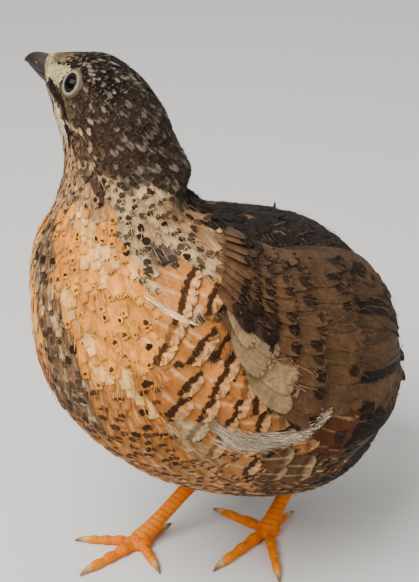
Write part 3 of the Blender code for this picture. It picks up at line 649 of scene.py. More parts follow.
class Net:
    """A shorthand for wiring a material's nodes."""

    def __init__(self, name: str) -> None:
        """Starts a material with its one shader."""
        self.material = bpy.data.materials.new(name)
        self.material.use_nodes = True
        self.tree = self.material.node_tree
        self.shader = self.tree.nodes["Principled BSDF"]

    def node(self, kind: str, **settings: object) -> bpy.types.Node:
        """A new node with these settings."""
        made = self.tree.nodes.new(kind)
        for label, value in settings.items():
            setattr(made, label, value)
        return made

    def feed(self, socket: Socket, value: object) -> None:
        """Links a socket to another, or sets its number."""
        if isinstance(value, Socket):
            self.tree.links.new(value, socket)
        elif isinstance(value, tuple) and socket.type == "RGBA":
            socket.default_value = (*value, 1.0)
        else:
            socket.default_value = value

    def math(self, operation: str, *values: object, clamp: bool = False) -> Socket:
        """The result of one operation on sockets and numbers."""
        made = self.node("ShaderNodeMath", operation=operation, use_clamp=clamp)
        for socket, value in zip(made.inputs, values):
            self.feed(socket, value)
        return made.outputs[0]

    def mix(self, share: object, first: object, second: object, blend: str = "MIX") -> Socket:
        """Two colours mixed."""
        made = self.node("ShaderNodeMix", data_type="RGBA", blend_type=blend)
        self.feed(made.inputs["Factor"], share)
        self.feed(made.inputs[6], first)
        self.feed(made.inputs[7], second)
        return made.outputs[2]

    def range(
        self, value: object, low: float, high: float, out_low: float = 0.0, out_high: float = 1.0
    ) -> Socket:
        """A value eased from one range into another."""
        made = self.node("ShaderNodeMapRange", interpolation_type="SMOOTHSTEP")
        for socket, number in zip(made.inputs, (value, low, high, out_low, out_high)):
            self.feed(socket, number)
        return made.outputs[0]

    def carried(self, label: str) -> bpy.types.Node:
        """What the corners carry under a name."""
        return self.node("ShaderNodeAttribute", attribute_type="GEOMETRY", attribute_name=label)

    def parts(self, vector: Socket) -> list[Socket]:
        """The three numbers of a vector."""
        made = self.node("ShaderNodeSeparateXYZ")
        self.feed(made.inputs[0], vector)
        return list(made.outputs)

    def numbers(self, label: str) -> list[Socket]:
        """The three numbers that the corners carry under a name."""
        return self.parts(self.carried(label).outputs["Vector"])

    def colour(self, label: str) -> Socket:
        """The colour that the corners carry under a name."""
        return self.carried(label).outputs["Color"]

    def times(self, first: object, second: object) -> Socket:
        """The product of two numbers."""
        return self.math("MULTIPLY", first, second)

    def lit(self, colour: object, light: object) -> Socket:
        """A colour made lighter or darker by a number."""
        shade = self.node("ShaderNodeCombineColor")
        for socket in shade.inputs:
            self.feed(socket, light)
        return self.mix(1.0, colour, shade.outputs[0], "MULTIPLY")

    def place(self) -> Socket:
        """The point on the object, in metres."""
        return self.node("ShaderNodeTexCoord").outputs["Object"]

    def noise(self, scale: float, detail: float = 2.0, roughness: float = 0.5,
              where: object = None) -> Socket:
        """Cloudy noise of this many cells a metre."""
        made = self.node("ShaderNodeTexNoise")
        self.feed(made.inputs["Vector"], where or self.place())
        for label, value in (("Scale", scale), ("Detail", detail), ("Roughness", roughness)):
            made.inputs[label].default_value = value
        return made.outputs["Fac"]

    def cells(self, scale: float, feature: str = "F1") -> Socket:
        """Distance in cells of this many a metre."""
        made = self.node("ShaderNodeTexVoronoi", feature=feature)
        self.feed(made.inputs["Vector"], self.place())
        made.inputs["Scale"].default_value = scale
        return made.outputs["Distance"]

    def bump(self, height: object, strength: float, depth: float) -> None:
        """Raises the surface by a height, in metres at most depth."""
        made = self.node("ShaderNodeBump")
        made.inputs["Strength"].default_value = strength
        made.inputs["Distance"].default_value = depth
        self.feed(made.inputs["Height"], height)
        self.tree.links.new(made.outputs[0], self.shader.inputs["Normal"])

    def set(self, **values: object) -> None:
        """Sets the shader's own sockets by name, with _ for a space."""
        for label, value in values.items():
            self.feed(self.shader.inputs[label.replace("_", " ")], value)


@dataclass(frozen=True)
class Finish:
    """A finish made of procedural nodes."""

    name: str

    def material(self) -> Material:
        """The finish as a new material."""
        net = Net(self.name)
        self.wire(net)
        return net.material

    def wire(self, net: Net) -> None:
        """Wires the finish."""
        raise NotImplementedError


@dataclass(frozen=True)
class FeatherFinish(Finish):
    """The vanes of the coat, marked by what each feather carries, with painted shade towards each root."""

    name: str = "marked_feather_vanes"
    sheen: float = 0.015
    barb_lines: float = 330.0
    barb_depth: float = 0.00004

    def wire(self, net: Net) -> None:
        """Wires the finish."""
        across, along, _ = net.parts(net.node("ShaderNodeUVMap", uv_map="Blade").outputs[0])
        spot, long, wide = net.numbers("marks_a")
        bar, streak, shaft = net.numbers("marks_b")
        fine, edge, chance = net.numbers("marks_c")
        cloud = net.noise(1100.0, 3.0)
        wobble = net.math("MULTIPLY_ADD", cloud, 0.18, -0.09)
        across = net.math("MULTIPLY_ADD", across, 2.0, -1.0)
        side = net.math("ABSOLUTE", net.math("ADD", across, wobble))
        bent = net.math("ADD", net.math("MULTIPLY_ADD", side, -0.08, along), wobble)
        slanted = net.math("MULTIPLY_ADD", side, -0.25, along)
        barbs = net.math("SINE", net.times(slanted, self.barb_lines))
        colour = net.colour("ground")
        ink, pale = net.colour("ink"), net.colour("pale")
        lines = net.math("SINE", net.math("MULTIPLY_ADD", bent, 60.0, net.times(cloud, 8.0)))
        lines = net.times(net.range(lines, 0.0, 0.9), net.range(cloud, 0.4, 0.6))
        colour = net.mix(net.times(lines, fine), colour, pale)
        tip = net.math("MULTIPLY_ADD", net.times(side, side), 0.14, bent)
        colour = net.mix(net.times(net.range(tip, 0.78, 0.96), edge), colour, pale)
        line = net.times(net.range(side, 0.16, 0.02), net.range(along, 1.0, 0.85))
        colour = net.mix(net.times(line, shaft), colour, pale)
        colour = net.mix(net.times(net.range(side, 0.55, 0.2), streak), colour, ink)
        band = net.math("MULTIPLY_ADD", chance, -0.04, net.math("SUBTRACT", bent, 0.74))
        band = net.math("ABSOLUTE", band)
        colour = net.mix(net.times(net.range(band, 0.085, 0.04), bar), colour, ink)
        middle = net.math("MULTIPLY_ADD", chance, 0.05, 0.84)
        drop = net.math("DIVIDE", net.math("SUBTRACT", bent, middle), long)
        reach = net.math("DIVIDE", side, wide)
        reach = net.math("ADD", net.times(drop, drop), net.times(reach, reach))
        colour = net.mix(net.times(net.range(reach, 1.25, 0.65), spot), colour, ink)
        # Painted shade: each vane is darkened towards its root, where the feather above overlaps it.
        down = net.range(along, 0.1, 0.55, 0.5, 1.0)
        lit = net.times(down, net.math("MULTIPLY_ADD", barbs, 0.05, 0.97))
        lit = net.times(lit, net.range(net.noise(170.0, 3.0), 0.2, 0.8, 0.78, 1.2))
        lit = net.times(lit, net.range(net.noise(480.0, 3.0, 0.6), 0.32, 0.68, 0.78, 1.14))
        lit = net.times(lit, net.range(cloud, 0.3, 0.7, 0.9, 1.1))
        net.set(Base_Color=net.lit(colour, lit))
        net.set(Roughness=net.range(cloud, 0.2, 0.8, 0.62, 0.85), Specular_IOR_Level=0.1)
        net.set(Sheen_Weight=self.sheen, Sheen_Roughness=0.5)
        net.bump(barbs, 0.4, self.barb_depth)


@dataclass(frozen=True)
class SkinFinish(Finish):
    """The down-covered skin under the coat, in the coat's own colours."""

    name: str = "downy_skin"

    def wire(self, net: Net) -> None:
        """Wires the finish."""
        fluff = net.noise(1400.0, 4.0, 0.65)
        dim = net.range(fluff, 0.25, 0.75, 0.45, 0.85)
        net.set(Base_Color=net.lit(net.colour("ground"), dim))
        net.set(Roughness=net.range(fluff, 0.2, 0.8, 0.75, 0.95), Specular_IOR_Level=0.15)
        net.bump(fluff, 0.8, 0.0003)


@dataclass(frozen=True)
class DownFinish(Finish):
    """Loose barbs and down, in the colour that each carries."""

    name: str = "loose_down"

    def wire(self, net: Net) -> None:
        """Wires the finish."""
        fluff = net.noise(1800.0, 3.0, 0.6)
        colour = net.mix(net.range(fluff, 0.35, 0.75, 0.0, 0.35), net.colour("ground"), DARK_BROWN)
        net.set(Base_Color=colour, Roughness=net.range(fluff, 0.2, 0.8, 0.7, 0.9))
        net.set(Sheen_Weight=0.05, Specular_IOR_Level=0.2)
        net.bump(fluff, 0.4, 0.0001)


@dataclass(frozen=True)
class HornFinish(Finish):
    """Bill or claw horn: streaked lengthways, darker at the tip."""

    root: Colour
    tip: Colour
    roughness: float
    streaks: float

    def wire(self, net: Net) -> None:
        """Wires the finish, shaded along by what the corners carry."""
        along, around, _ = net.numbers("growth")
        vector = net.node("ShaderNodeCombineXYZ")
        for socket, value, scale in zip(vector.inputs, (along, around), (1.4, 9.0)):
            net.feed(socket, net.times(value, scale))
        grain = net.noise(self.streaks, 4.0, 0.6, vector.outputs[0])
        cloud = net.noise(500.0, 3.0)
        uneven = net.math("MULTIPLY_ADD", grain, 0.5, -0.25)
        share = net.math("ADD", net.range(along, 0.05, 0.75), uneven, clamp=True)
        colour = net.mix(share, self.root, self.tip)
        worn = tuple(1.5 * channel + 0.01 for channel in self.root)
        colour = net.mix(net.range(cloud, 0.45, 0.75, 0.0, 0.3), colour, worn)
        net.set(Base_Color=colour, Specular_IOR_Level=0.3, Coat_Weight=0.06, Coat_Roughness=0.3)
        net.set(Roughness=net.range(grain, 0.2, 0.8, self.roughness - 0.08, self.roughness + 0.14))
        net.bump(grain, 0.5, 0.00012)


@dataclass(frozen=True)
class EyeFinish(Finish):
    """The wet eyeball: a black pupil in a dark brown iris."""

    name: str = "wet_brown_eye"
    pupil: float = 0.62
    black: Colour = (0.002, 0.0016, 0.0014)

    def wire(self, net: Net) -> None:
        """Wires the finish, ringed by what the corners carry."""
        ring, turn, _ = net.numbers("growth")
        rays = net.math("SINE", net.times(turn, 90.0))
        iris = net.mix(net.range(rays, -1.0, 1.0, 0.0, 0.5), paint(44, 26, 14), paint(26, 15, 8))
        colour = net.mix(net.range(ring, self.pupil - 0.04, self.pupil + 0.03), self.black, iris)
        colour = net.mix(net.range(ring, 0.92, 1.05), colour, paint(20, 13, 9))
        net.set(Base_Color=colour, Roughness=net.range(net.noise(700.0), 0.2, 0.8, 0.12, 0.2))
        net.set(Coat_Weight=0.05, Coat_Roughness=0.03, Specular_IOR_Level=0.06)
        net.bump(rays, 0.08, 0.00003)


@dataclass(frozen=True)
class LidFinish(Finish):
    """The bare, finely wrinkled ring of the lids."""

    name: str = "pale_grey_lids"

    def wire(self, net: Net) -> None:
        """Wires the finish, wrinkled round the eye."""
        ring, _, _ = net.numbers("growth")
        folds = net.math("SINE", net.math("MULTIPLY_ADD", ring, 30.0, net.times(net.noise(2200.0), 6.0)))
        beads = net.cells(3200.0)
        colour = net.mix(net.range(folds, -1.0, 1.0, 0.0, 0.6), paint(124, 114, 96), paint(86, 76, 60))
        colour = net.mix(net.range(net.noise(900.0), 0.4, 0.7, 0.0, 0.5), colour, paint(140, 130, 110))
        colour = net.mix(net.range(ring, 0.28, 0.12), colour, paint(34, 26, 20))
        colour = net.mix(net.range(ring, 0.62, 0.78), colour, paint(84, 68, 50))
        net.set(Base_Color=colour, Roughness=net.range(beads, 0.1, 0.6, 0.42, 0.65), Specular_IOR_Level=0.3)
        net.set(Subsurface_Weight=0.1, Subsurface_Scale=0.0005)
        net.bump(net.math("ADD", folds, beads), 0.35, 0.00008)


@dataclass(frozen=True)
class LegFinish(Finish):
    """Orange leg skin, redder at the hock and paler at the toe tips, dull between the scutes."""

    name: str = "orange_scuted_leg_skin"

    def wire(self, net: Net) -> None:
        """Wires the finish from how far down the leg and how deep in a groove each corner lies."""
        down, groove, _ = net.numbers("growth")
        cloud = net.noise(420.0, 4.0, 0.6)
        grit = net.cells(2600.0)
        colour = net.mix(net.range(down, 0.0, 0.25), paint(204, 84, 2), paint(228, 120, 0))
        colour = net.mix(net.range(down, 0.72, 1.0), colour, paint(224, 136, 8))
        colour = net.mix(net.range(cloud, 0.4, 0.7, 0.0, 0.6), colour, paint(190, 88, 0))
        colour = net.mix(net.math("MULTIPLY", groove, 0.6, clamp=True), colour, paint(140, 60, 0))
        net.set(Base_Color=colour, Roughness=net.range(cloud, 0.2, 0.8, 0.4, 0.62), Specular_IOR_Level=0.12)
        net.bump(net.math("MULTIPLY_ADD", cloud, 0.6, grit), 0.3, 0.00008)


@dataclass(frozen=True)
class FloorFinish(Finish):
    """The plain pale studio floor."""

    name: str = "pale_studio_floor"
    tone: Colour = paint(214, 211, 205)

    def wire(self, net: Net) -> None:
        """Wires the finish."""
        cloud = net.noise(60.0, 4.0)
        net.set(Base_Color=self.tone, Roughness=net.range(cloud, 0.2, 0.8, 0.7, 0.85),
                Specular_IOR_Level=0.2)
        net.bump(cloud, 0.05, 0.0002)


BILL_HORN = HornFinish("grey_black_bill_horn", paint(42, 33, 26), paint(20, 15, 11), 0.42, 3.0)
CLAW_HORN = HornFinish("pale_brown_claw_horn", paint(206, 156, 96), paint(128, 84, 46), 0.38, 3.0)


# Feathers


class Outline(Enum):
    """The plan of a vane: where it starts to round off, and how pointed its tip is."""

    ROUND = (0.55, 2.2, 0.42)
    BLUNT = (0.66, 2.6, 0.5)
    LONG = (0.72, 2.3, 0.55)
    NARROW = (0.35, 1.5, 0.6)

    def half_width(self, along: Array) -> Array:
        """How wide the vane is along its length, as a share of its most."""
        start, power, root = self.value
        rounded = np.sqrt(np.clip(1 - np.clip((along - start) / (1.02 - start), 0, 1) ** power, 0, 1))
        return (root + (1 - root) * smooth_step(along, 0.0, 0.45)) * rounded


class Vane:
    """The plan of one feather: two webs of barb groups along a shaft, open at their edges."""

    def __init__(self, groups: int, outline: Outline, web: float = 0.6, sweep: float = 0.16) -> None:
        """Lays out the corners.

        Args:
            groups: How many groups of barbs a side has.
            outline: The plan of the vane.
            web: The share of the half width where the groups still join.
            sweep: How far the barbs slant towards the tip.
        """
        shaft = 0.94 * (np.arange(groups + 1) / groups) ** 0.9
        middle = np.clip(shaft + sweep * web, 0, 0.985)
        tips = np.clip((shaft[:-1] + shaft[1:]) / 2 + sweep * 1.1 + 0.02, 0, 0.985)
        across, along, faces = [np.zeros(groups + 1)], [shaft], []
        for side in (1, -1):
            across += [side * web * outline.half_width(middle), side * outline.half_width(tips)]
            along += [middle, tips]
        across.append(np.zeros(1))
        along.append(np.ones(1))
        self.across, self.along = np.concatenate(across), np.concatenate(along)
        end = len(self.across) - 1
        for number, side in enumerate((1, -1)):
            web_start = (groups + 1) + number * (2 * groups + 1)
            tip_start = web_start + groups + 1
            made = []
            for k in range(groups):
                a, b, c, d = k, k + 1, web_start + k + 1, web_start + k
                made += [(a, d, b), (b, d, c), (d, tip_start + k, c)]
            made.append((groups, web_start + groups, end))
            faces += made if side == 1 else [(a, c, b) for a, b, c in made]
        self.faces = np.array(faces)
        self.loose = np.abs(self.across) > web * 1.02 * outline.half_width(self.along)


@dataclass
class FeatherBatch:
    """Feathers that lie on one form, one row each. A single number stands for all of them."""

    form: Form
    station: Array
    around: Array
    length: Array | float
    half_width: Array | float
    root_lift: Array | float
    tip_lift: Array | float
    lean: Array | float = 0.0
    camber: Array | float = 0.0
    tilt: Array | float = 0.0
    path: tuple[Array, Array] | None = None
    fray: float = 1.0
    steps: int = 7

    def __post_init__(self) -> None:
        """Gives each feather its own row of the sizes that they share."""
        for label in ("length", "half_width", "root_lift", "tip_lift", "lean", "camber", "tilt"):
            rows = np.broadcast_to(np.asarray(getattr(self, label), float), self.station.shape)
            setattr(self, label, rows)

    def centre_lines(self) -> tuple[Array, Array]:
        """The stations and angles of each feather's shaft, from root to tip."""
        if self.path is not None:
            return self.path
        place, around = self.station.copy(), self.around.copy()
        places, turns = [place], [around]
        for _ in range(self.steps - 1):
            _, along, across, normal = self.form.frames(place, around)
            offset = self.heading(along, normal) * (self.length / (self.steps - 1))[:, None]
            place, around = self.form.shifted(place, around, offset, along, across)
            places.append(place)
            turns.append(around)
        return np.stack(places, 1), np.stack(turns, 1)

    def heading(self, along: Array, normal: Array) -> Array:
        """The unit vector that a feather points along, tailwards turned by its lean."""
        back = unit(-along)
        lean = self.lean.reshape(-1, *([1] * (along.ndim - 1)))
        return np.cos(lean) * back + np.sin(lean) * np.cross(normal, back)

    def corners(self, vane: Vane, draw: Draw) -> Array:
        """Every corner of every feather, rows of feathers by corners.

        Args:
            vane: The plan of the vane.
            draw: What varies the barbs.

        Returns:
            The points in millimetres.
        """
        lines = self.centre_lines()
        count, corners = len(self.station), len(vane.across)
        rough, stray = (self.fray * draw.normal(0, 1, (count, corners)) * vane.loose for _ in range(2))
        across = vane.across * (1 + 0.10 * rough)
        along = np.clip(vane.along + 0.02 * stray, 0, 1)
        at = along * (lines[0].shape[1] - 1)
        low = np.minimum(at.astype(int), lines[0].shape[1] - 2)
        part = at - low
        rows = np.arange(count)[:, None]
        place, around = (line[rows, low] * (1 - part) + line[rows, low + 1] * part for line in lines)
        _, along_way, across_way, normal = self.form.frames(place, around)
        if self.path is None:
            heading = self.heading(along_way, normal)
        else:
            ahead = [line[rows, low + 1] - line[rows, low] for line in lines]
            heading = unit(along_way * ahead[0][..., None] + across_way * ahead[1][..., None])
        sideways = np.cross(normal, heading)
        offset = sideways * (across * self.half_width[:, None])[..., None]
        place, around = self.form.shifted(place, around, offset, along_way, across_way)
        rise = self.root_lift[:, None] + (self.tip_lift - self.root_lift)[:, None] * along**1.2
        rise = rise - self.camber[:, None] * across**2 + self.tilt[:, None] * across
        rise = rise + 0.05 * rough * np.abs(self.tip_lift - self.root_lift)[:, None]
        point, _, _, normal = self.form.frames(place, around)
        return point + normal * rise[..., None]

    def sheet(self, vane: Vane, looks: dict[str, Array], draw: Draw, bake: Array | None = None) -> Sheet:
        """The feathers with their markings and map.

        Args:
            vane: The plan of the vane.
            looks: What each feather carries, one row each.
            draw: What varies the barbs.
            bake: Each root's place on the unwrapped skin, or nothing to take the body's own.

        Returns:
            One sheet with all of them.
        """
        if bake is None:
            bake = unwrapped(self.station, self.around)
        return feather_sheet(self.corners(vane, draw), vane, looks, bake)


PATCH = 0.003
UNWRAP_TOP = 0.93


def feather_sheet(points: Array, vane: Vane, looks: dict[str, Array], bake: Array) -> Sheet:
    """The triangles of a batch of feathers, with their markings and map.

    Args:
        points: Rows of feathers by corners.
        vane: The plan of the vane.
        looks: What each feather carries, one row each.
        bake: Each root's place on the unwrapped skin.

    Returns:
        One sheet with all of them.
    """
    count, corners = points.shape[:2]
    starts = (np.arange(count) * corners)[:, None, None]
    sheet = Sheet(points, vane.faces[None] + starts)
    blade = np.stack([vane.across * 0.5 + 0.5, vane.along], axis=1)
    sheet.maps["OFBake"] = (bake[:, None] + (blade[None] - 0.5) * PATCH).reshape(-1, 2)
    sheet.maps["Blade"] = np.tile(blade, (count, 1))
    for label, rows in looks.items():
        sheet.values[label] = np.repeat(rows, corners, axis=0)
    return sheet


def unwrapped(station: Array, around: Array) -> Array:
    """A place of the body on the skin's flat unwrap, cut along the belly."""
    turn = (np.asarray(around) + math.pi) % math.tau / math.tau
    return np.stack([0.01 + 0.98 * turn, 0.01 + UNWRAP_TOP * np.asarray(station) / LAST_STATION], axis=-1)


def joined(sheets: list[Sheet]) -> Sheet:
    """Several sheets as one."""
    starts = np.cumsum([0] + [len(sheet.points) for sheet in sheets[:-1]])
    made = Sheet(
        np.concatenate([sheet.points for sheet in sheets]),
        np.concatenate([sheet.triangles + start for sheet, start in zip(sheets, starts)]),
    )
    for label in sheets[0].maps:
        made.maps[label] = np.concatenate([sheet.maps[label] for sheet in sheets])
    for label in sheets[0].values:
        made.values[label] = np.concatenate([sheet.values[label] for sheet in sheets])
    return made


WING_TOP = ((8.0, 36.0), (5.6, 31.0), (3.2, 35.0), (1.05, 55.0))
WING_BOTTOM = ((7.9, 74.0), (6.0, 93.0), (3.6, 101.0), (1.05, 77.0))


def wing_place(along: Array, down: Array) -> tuple[Array, Array]:
    """The station and angle, in radians, of a place on the folded wing."""
    top = curve_rows(np.array(WING_TOP), along * 3)
    bottom = curve_rows(np.array(WING_BOTTOM), along * 3)
    place = top + (bottom - top) * np.asarray(down)[..., None]
    return place[..., 0], np.radians(place[..., 1])


def wing_rise(station: Array, degrees: Array) -> Array:
    """How far into the folded wing a place lies, from 0 outside it to 1."""
    tops, bottoms = np.array(WING_TOP)[::-1], np.array(WING_BOTTOM)[::-1]
    top = np.interp(station, tops[:, 0], tops[:, 1])
    bottom = np.interp(station, bottoms[:, 0], bottoms[:, 1])
    inside = smooth_step(degrees, top - 3, top + 9) * (1 - smooth_step(degrees, bottom - 9, bottom + 3))
    return inside * smooth_step(station, 0.9, 1.5) * (1 - smooth_step(station, 7.5, 8.1))


@dataclass
class Coat:
    """The contour feathers of the torso, neck and head.

    Sizes are given at a few stations: the feathers' length and the coat's depth, in millimetres.
    Spacing is the least gap between roots as a share of that length. A piece is its name, its first
    and last station and how many groups of barbs its feathers have on a side.
    """

    stations: tuple[float, ...] = (0.3, 2.0, 4.0, 8.0, 9.5, 11.0, 12.6, 14.0, 15.5, 17.0)
    lengths: tuple[float, ...] = (6.0, 7.8, 8.2, 8.0, 6.2, 4.1, 2.3, 1.65, 1.2, 0.9)
    depths: tuple[float, ...] = (0.9, 0.9, 0.9, 0.9, 0.8, 0.7, 0.5, 0.38, 0.28, 0.2)
    spacing: float = 0.24
    head_from: float = 12.4
    head_spacing: float = 1.25
    lid_radius: float = 2.15
    wing_thickness: float = 2.2
    tries: int = 60000
    seed: int = 11
    pieces: tuple[tuple[str, float, float, int], ...] = (
        ("rump_feathers", 0.3, 3.0, 18),
        ("belly_and_back_feathers", 3.0, 5.2, 18),
        ("lower_breast_feathers", 5.2, 7.4, 18),
        ("breast_feathers", 7.4, 9.4, 18),
        ("neck_feathers", 9.4, 11.4, 12),
        ("nape_feathers", 11.4, 13.0, 12),
        ("crown_and_cheek_feathers", 13.0, 14.8, 8),
        ("face_feathers", 14.8, 16.96, 8),
    )

    def length_at(self, station: Array) -> Array:
        """The feathers' length at these stations."""
        return np.interp(station, self.stations, self.lengths)

    def depth_at(self, station: Array) -> Array:
        """The coat's depth at these stations."""
        return np.interp(station, self.stations, self.depths)

    def scatter(self, low: float, high: float, draw: Draw) -> tuple[Array, Array]:
        """Roots spread evenly over a length of the body, closer where feathers are smaller.

        Args:
            low: The first station.
            high: The last station.
            draw: What places them.

        Returns:
            Their stations and angles.
        """
        station = low + (high - low) * draw.random(self.tries)
        around = math.tau * draw.random(self.tries) - math.pi
        point, along, across, _ = BODY.frames(station, around)
        area = np.linalg.norm(np.cross(along, across), axis=1) / self.length_at(station) ** 2
        kept = draw.random(self.tries) < area / area.max()
        station, around, point = station[kept], around[kept], point[kept]
        wider = np.where(station > self.head_from, self.head_spacing, 1.0)
        gap = self.spacing * self.length_at(station) * wider
        cell = float(gap.max())
        grid: dict[tuple[int, int, int], list[int]] = {}
        chosen = []
        cells = np.floor(point / cell).astype(int)
        for index in range(len(station)):
            x, y, z = cells[index]
            here, reach = point[index], gap[index] ** 2
            near = (
                other
                for i in (x - 1, x, x + 1)
                for j in (y - 1, y, y + 1)
                for k in (z - 1, z, z + 1)
                for other in grid.get((i, j, k), ())
            )
            if all(((point[other] - here) ** 2).sum() > reach for other in near):
                grid.setdefault((x, y, z), []).append(index)
                chosen.append(index)
        return station[chosen], around[chosen]

    def clear_of_face(self, station: Array, around: Array) -> Array:
        """False for a root inside the lids."""
        point = BODY.surface(station, around)
        clear = np.ones(len(station), bool)
        for eye in EYES:
            outwards = eye.axes[0]
            offset = point - eye.centre
            beside = np.linalg.norm(offset - (offset @ outwards)[:, None] * outwards, axis=1)
            clear &= (beside > self.lid_radius) | (offset @ outwards < 0)
        return clear

    def batch(self, low: float, high: float, draw: Draw) -> FeatherBatch:
        """The feathers of one length of the body."""
        station, around = self.scatter(low, high, draw)
        degrees = np.abs(np.degrees(around))
        hidden = (wing_rise(station, degrees) > 0.97) & (wing_rise(station - 0.5, degrees) > 0.97)
        kept = ~hidden & self.clear_of_face(station, around)
        station, around, degrees = station[kept], around[kept], degrees[kept]
        count = len(station)
        length = self.length_at(station) * (0.85 + 0.3 * draw.random(count))
        depth = self.depth_at(station)
        reach = length / np.linalg.norm(BODY.frames(station, around)[1], axis=1)
        rise = self.wing_thickness * wing_rise(station - 0.8 * reach, degrees)
        under = self.wing_thickness * 0.75 * wing_rise(station, degrees)
        return FeatherBatch(
            BODY,
            station,
            around,
            length,
            length * (0.25 + 0.06 * draw.random(count)),
            -0.6 * depth + under,
            0.14 * depth + rise + 0.07 * depth * draw.normal(0, 1, count),
            draw.normal(0, 0.13, count),
            0.10 * depth * (1 + draw.random(count)),
            0.06 * depth * draw.normal(0, 1, count),
        )

    def build(self, plumage: Plumage, material: Material) -> None:
        """Makes the coat, piece by piece."""
        draw = np.random.default_rng(self.seed)
        for name, low, high, groups in self.pieces:
            vane = Vane(groups, Outline.ROUND, 0.5, 0.24)
            batch = self.batch(low, high, draw)
            places, turns = batch.centre_lines()
            looks = plumage.pick(places[:, -2], turns[:, -2])
            dressed(batch.sheet(vane, looks, draw).build(name, material), "plumage")


@dataclass(frozen=True)
class Tier:
    """A row of like feathers on a folded wing.

    Root and reach are shares of the wing's length, and top and bottom are how far down the wing the
    first and the last feather lie. Sweep carries each feather down the wing along its length, and taper
    shortens the last ones.
    """

    name: str
    count: int
    root: float
    reach: float
    top: float
    bottom: float
    width: float
    root_lift: float
    tip_lift: float
    outline: Outline
    sweep: float = 0.0
    taper: float = 0.0


@dataclass
class Wing:
    """A folded wing: coverts in tiers over the secondaries, tertials and primaries."""

    side: int
    word: str
    seed: int = 21
    span: float = 70.0
    camber: float = 0.22
    tilt: float = -0.28
    fray: float = 0.35
    tiers: tuple[Tier, ...] = (
        Tier("primaries", 8, 0.50, 0.52, 0.55, 0.88, 5.6, 0.85, 1.0, Outline.LONG, -0.10, 0.1),
        Tier("secondaries", 11, 0.42, 0.42, 0.30, 0.95, 6.0, 1.0, 1.7, Outline.LONG, -0.02, 0.12),
        Tier("tertials", 4, 0.38, 0.52, 0.05, 0.27, 8.6, 1.15, 2.1, Outline.LONG, 0.05, 0.05),
        Tier("greater coverts", 12, 0.33, 0.25, 0.06, 0.95, 6.2, 1.15, 2.3, Outline.BLUNT, 0.0, 0.1),
        Tier("median coverts", 12, 0.25, 0.20, 0.05, 0.95, 5.6, 1.15, 2.45, Outline.ROUND),
        Tier("third lesser coverts", 12, 0.18, 0.17, 0.04, 0.95, 5.2, 1.1, 2.5, Outline.ROUND),
        Tier("second lesser coverts", 11, 0.11, 0.16, 0.04, 0.94, 5.0, 1.1, 2.5, Outline.ROUND),
        Tier("first lesser coverts", 10, 0.045, 0.15, 0.05, 0.92, 4.8, 1.0, 2.5, Outline.ROUND),
        Tier("marginal coverts", 9, -0.02, 0.14, 0.06, 0.90, 4.6, 0.6, 2.4, Outline.ROUND),
    )

    def build(self, plumage: Plumage, material: Material) -> None:
        """Makes the wing in place of its solid."""
        draw = np.random.default_rng(self.seed)
        sheets = []
        for tier in self.tiers:
            count = tier.count
            part = np.linspace(0, 1, count)
            down = tier.top + (tier.bottom - tier.top) * part + draw.normal(0, 0.008, count)
            reach = tier.reach * (1 + draw.uniform(-0.06, 0.06, count)) * (1 - tier.taper * part)
            steps = np.linspace(0, 1, 9)[None]
            root = tier.root + draw.normal(0, 0.008, count)
            along = np.maximum(root[:, None] + reach[:, None] * steps, 0.0)
            place, turn = wing_place(along, down[:, None] + tier.sweep * steps)
            turn = self.side * turn
            batch = FeatherBatch(
                BODY,
                place[:, 0],
                turn[:, 0],
                reach * self.span,
                tier.width / 2 * (1 + draw.uniform(-0.06, 0.06, count)),
                tier.root_lift,
                tier.tip_lift + draw.normal(0, 0.06, count),
                camber=self.camber,
                tilt=self.side * self.tilt,
                path=(place, turn),
                fray=self.fray,
            )
            vane = Vane(64 if tier.outline is Outline.LONG else 44, tier.outline, 0.9, 0.12)
            looks = plumage.pick(place[:, 6], turn[:, 6])
            sheets.append(batch.sheet(vane, looks, draw))
        wing = joined(sheets).build(f"wing_{self.word}_feathers", material)
        dressed(wing, "flight_plumage", f"wing_{self.word}")


@dataclass(frozen=True)
class FanRow:
    """A fan of like feathers at the tail.

    Root is how far behind and how high its middle one starts, and facing is 1 for a row seen from above
    and -1 for one seen from below.
    """

    name: str
    count: int
    root: tuple[float, float]
    root_half_width: float
    arch: float
    spread: float
    fall: float
    length: float
    width: float
    roof: float
    droop: float
    rounding: float
    facing: float
    ground: Colour


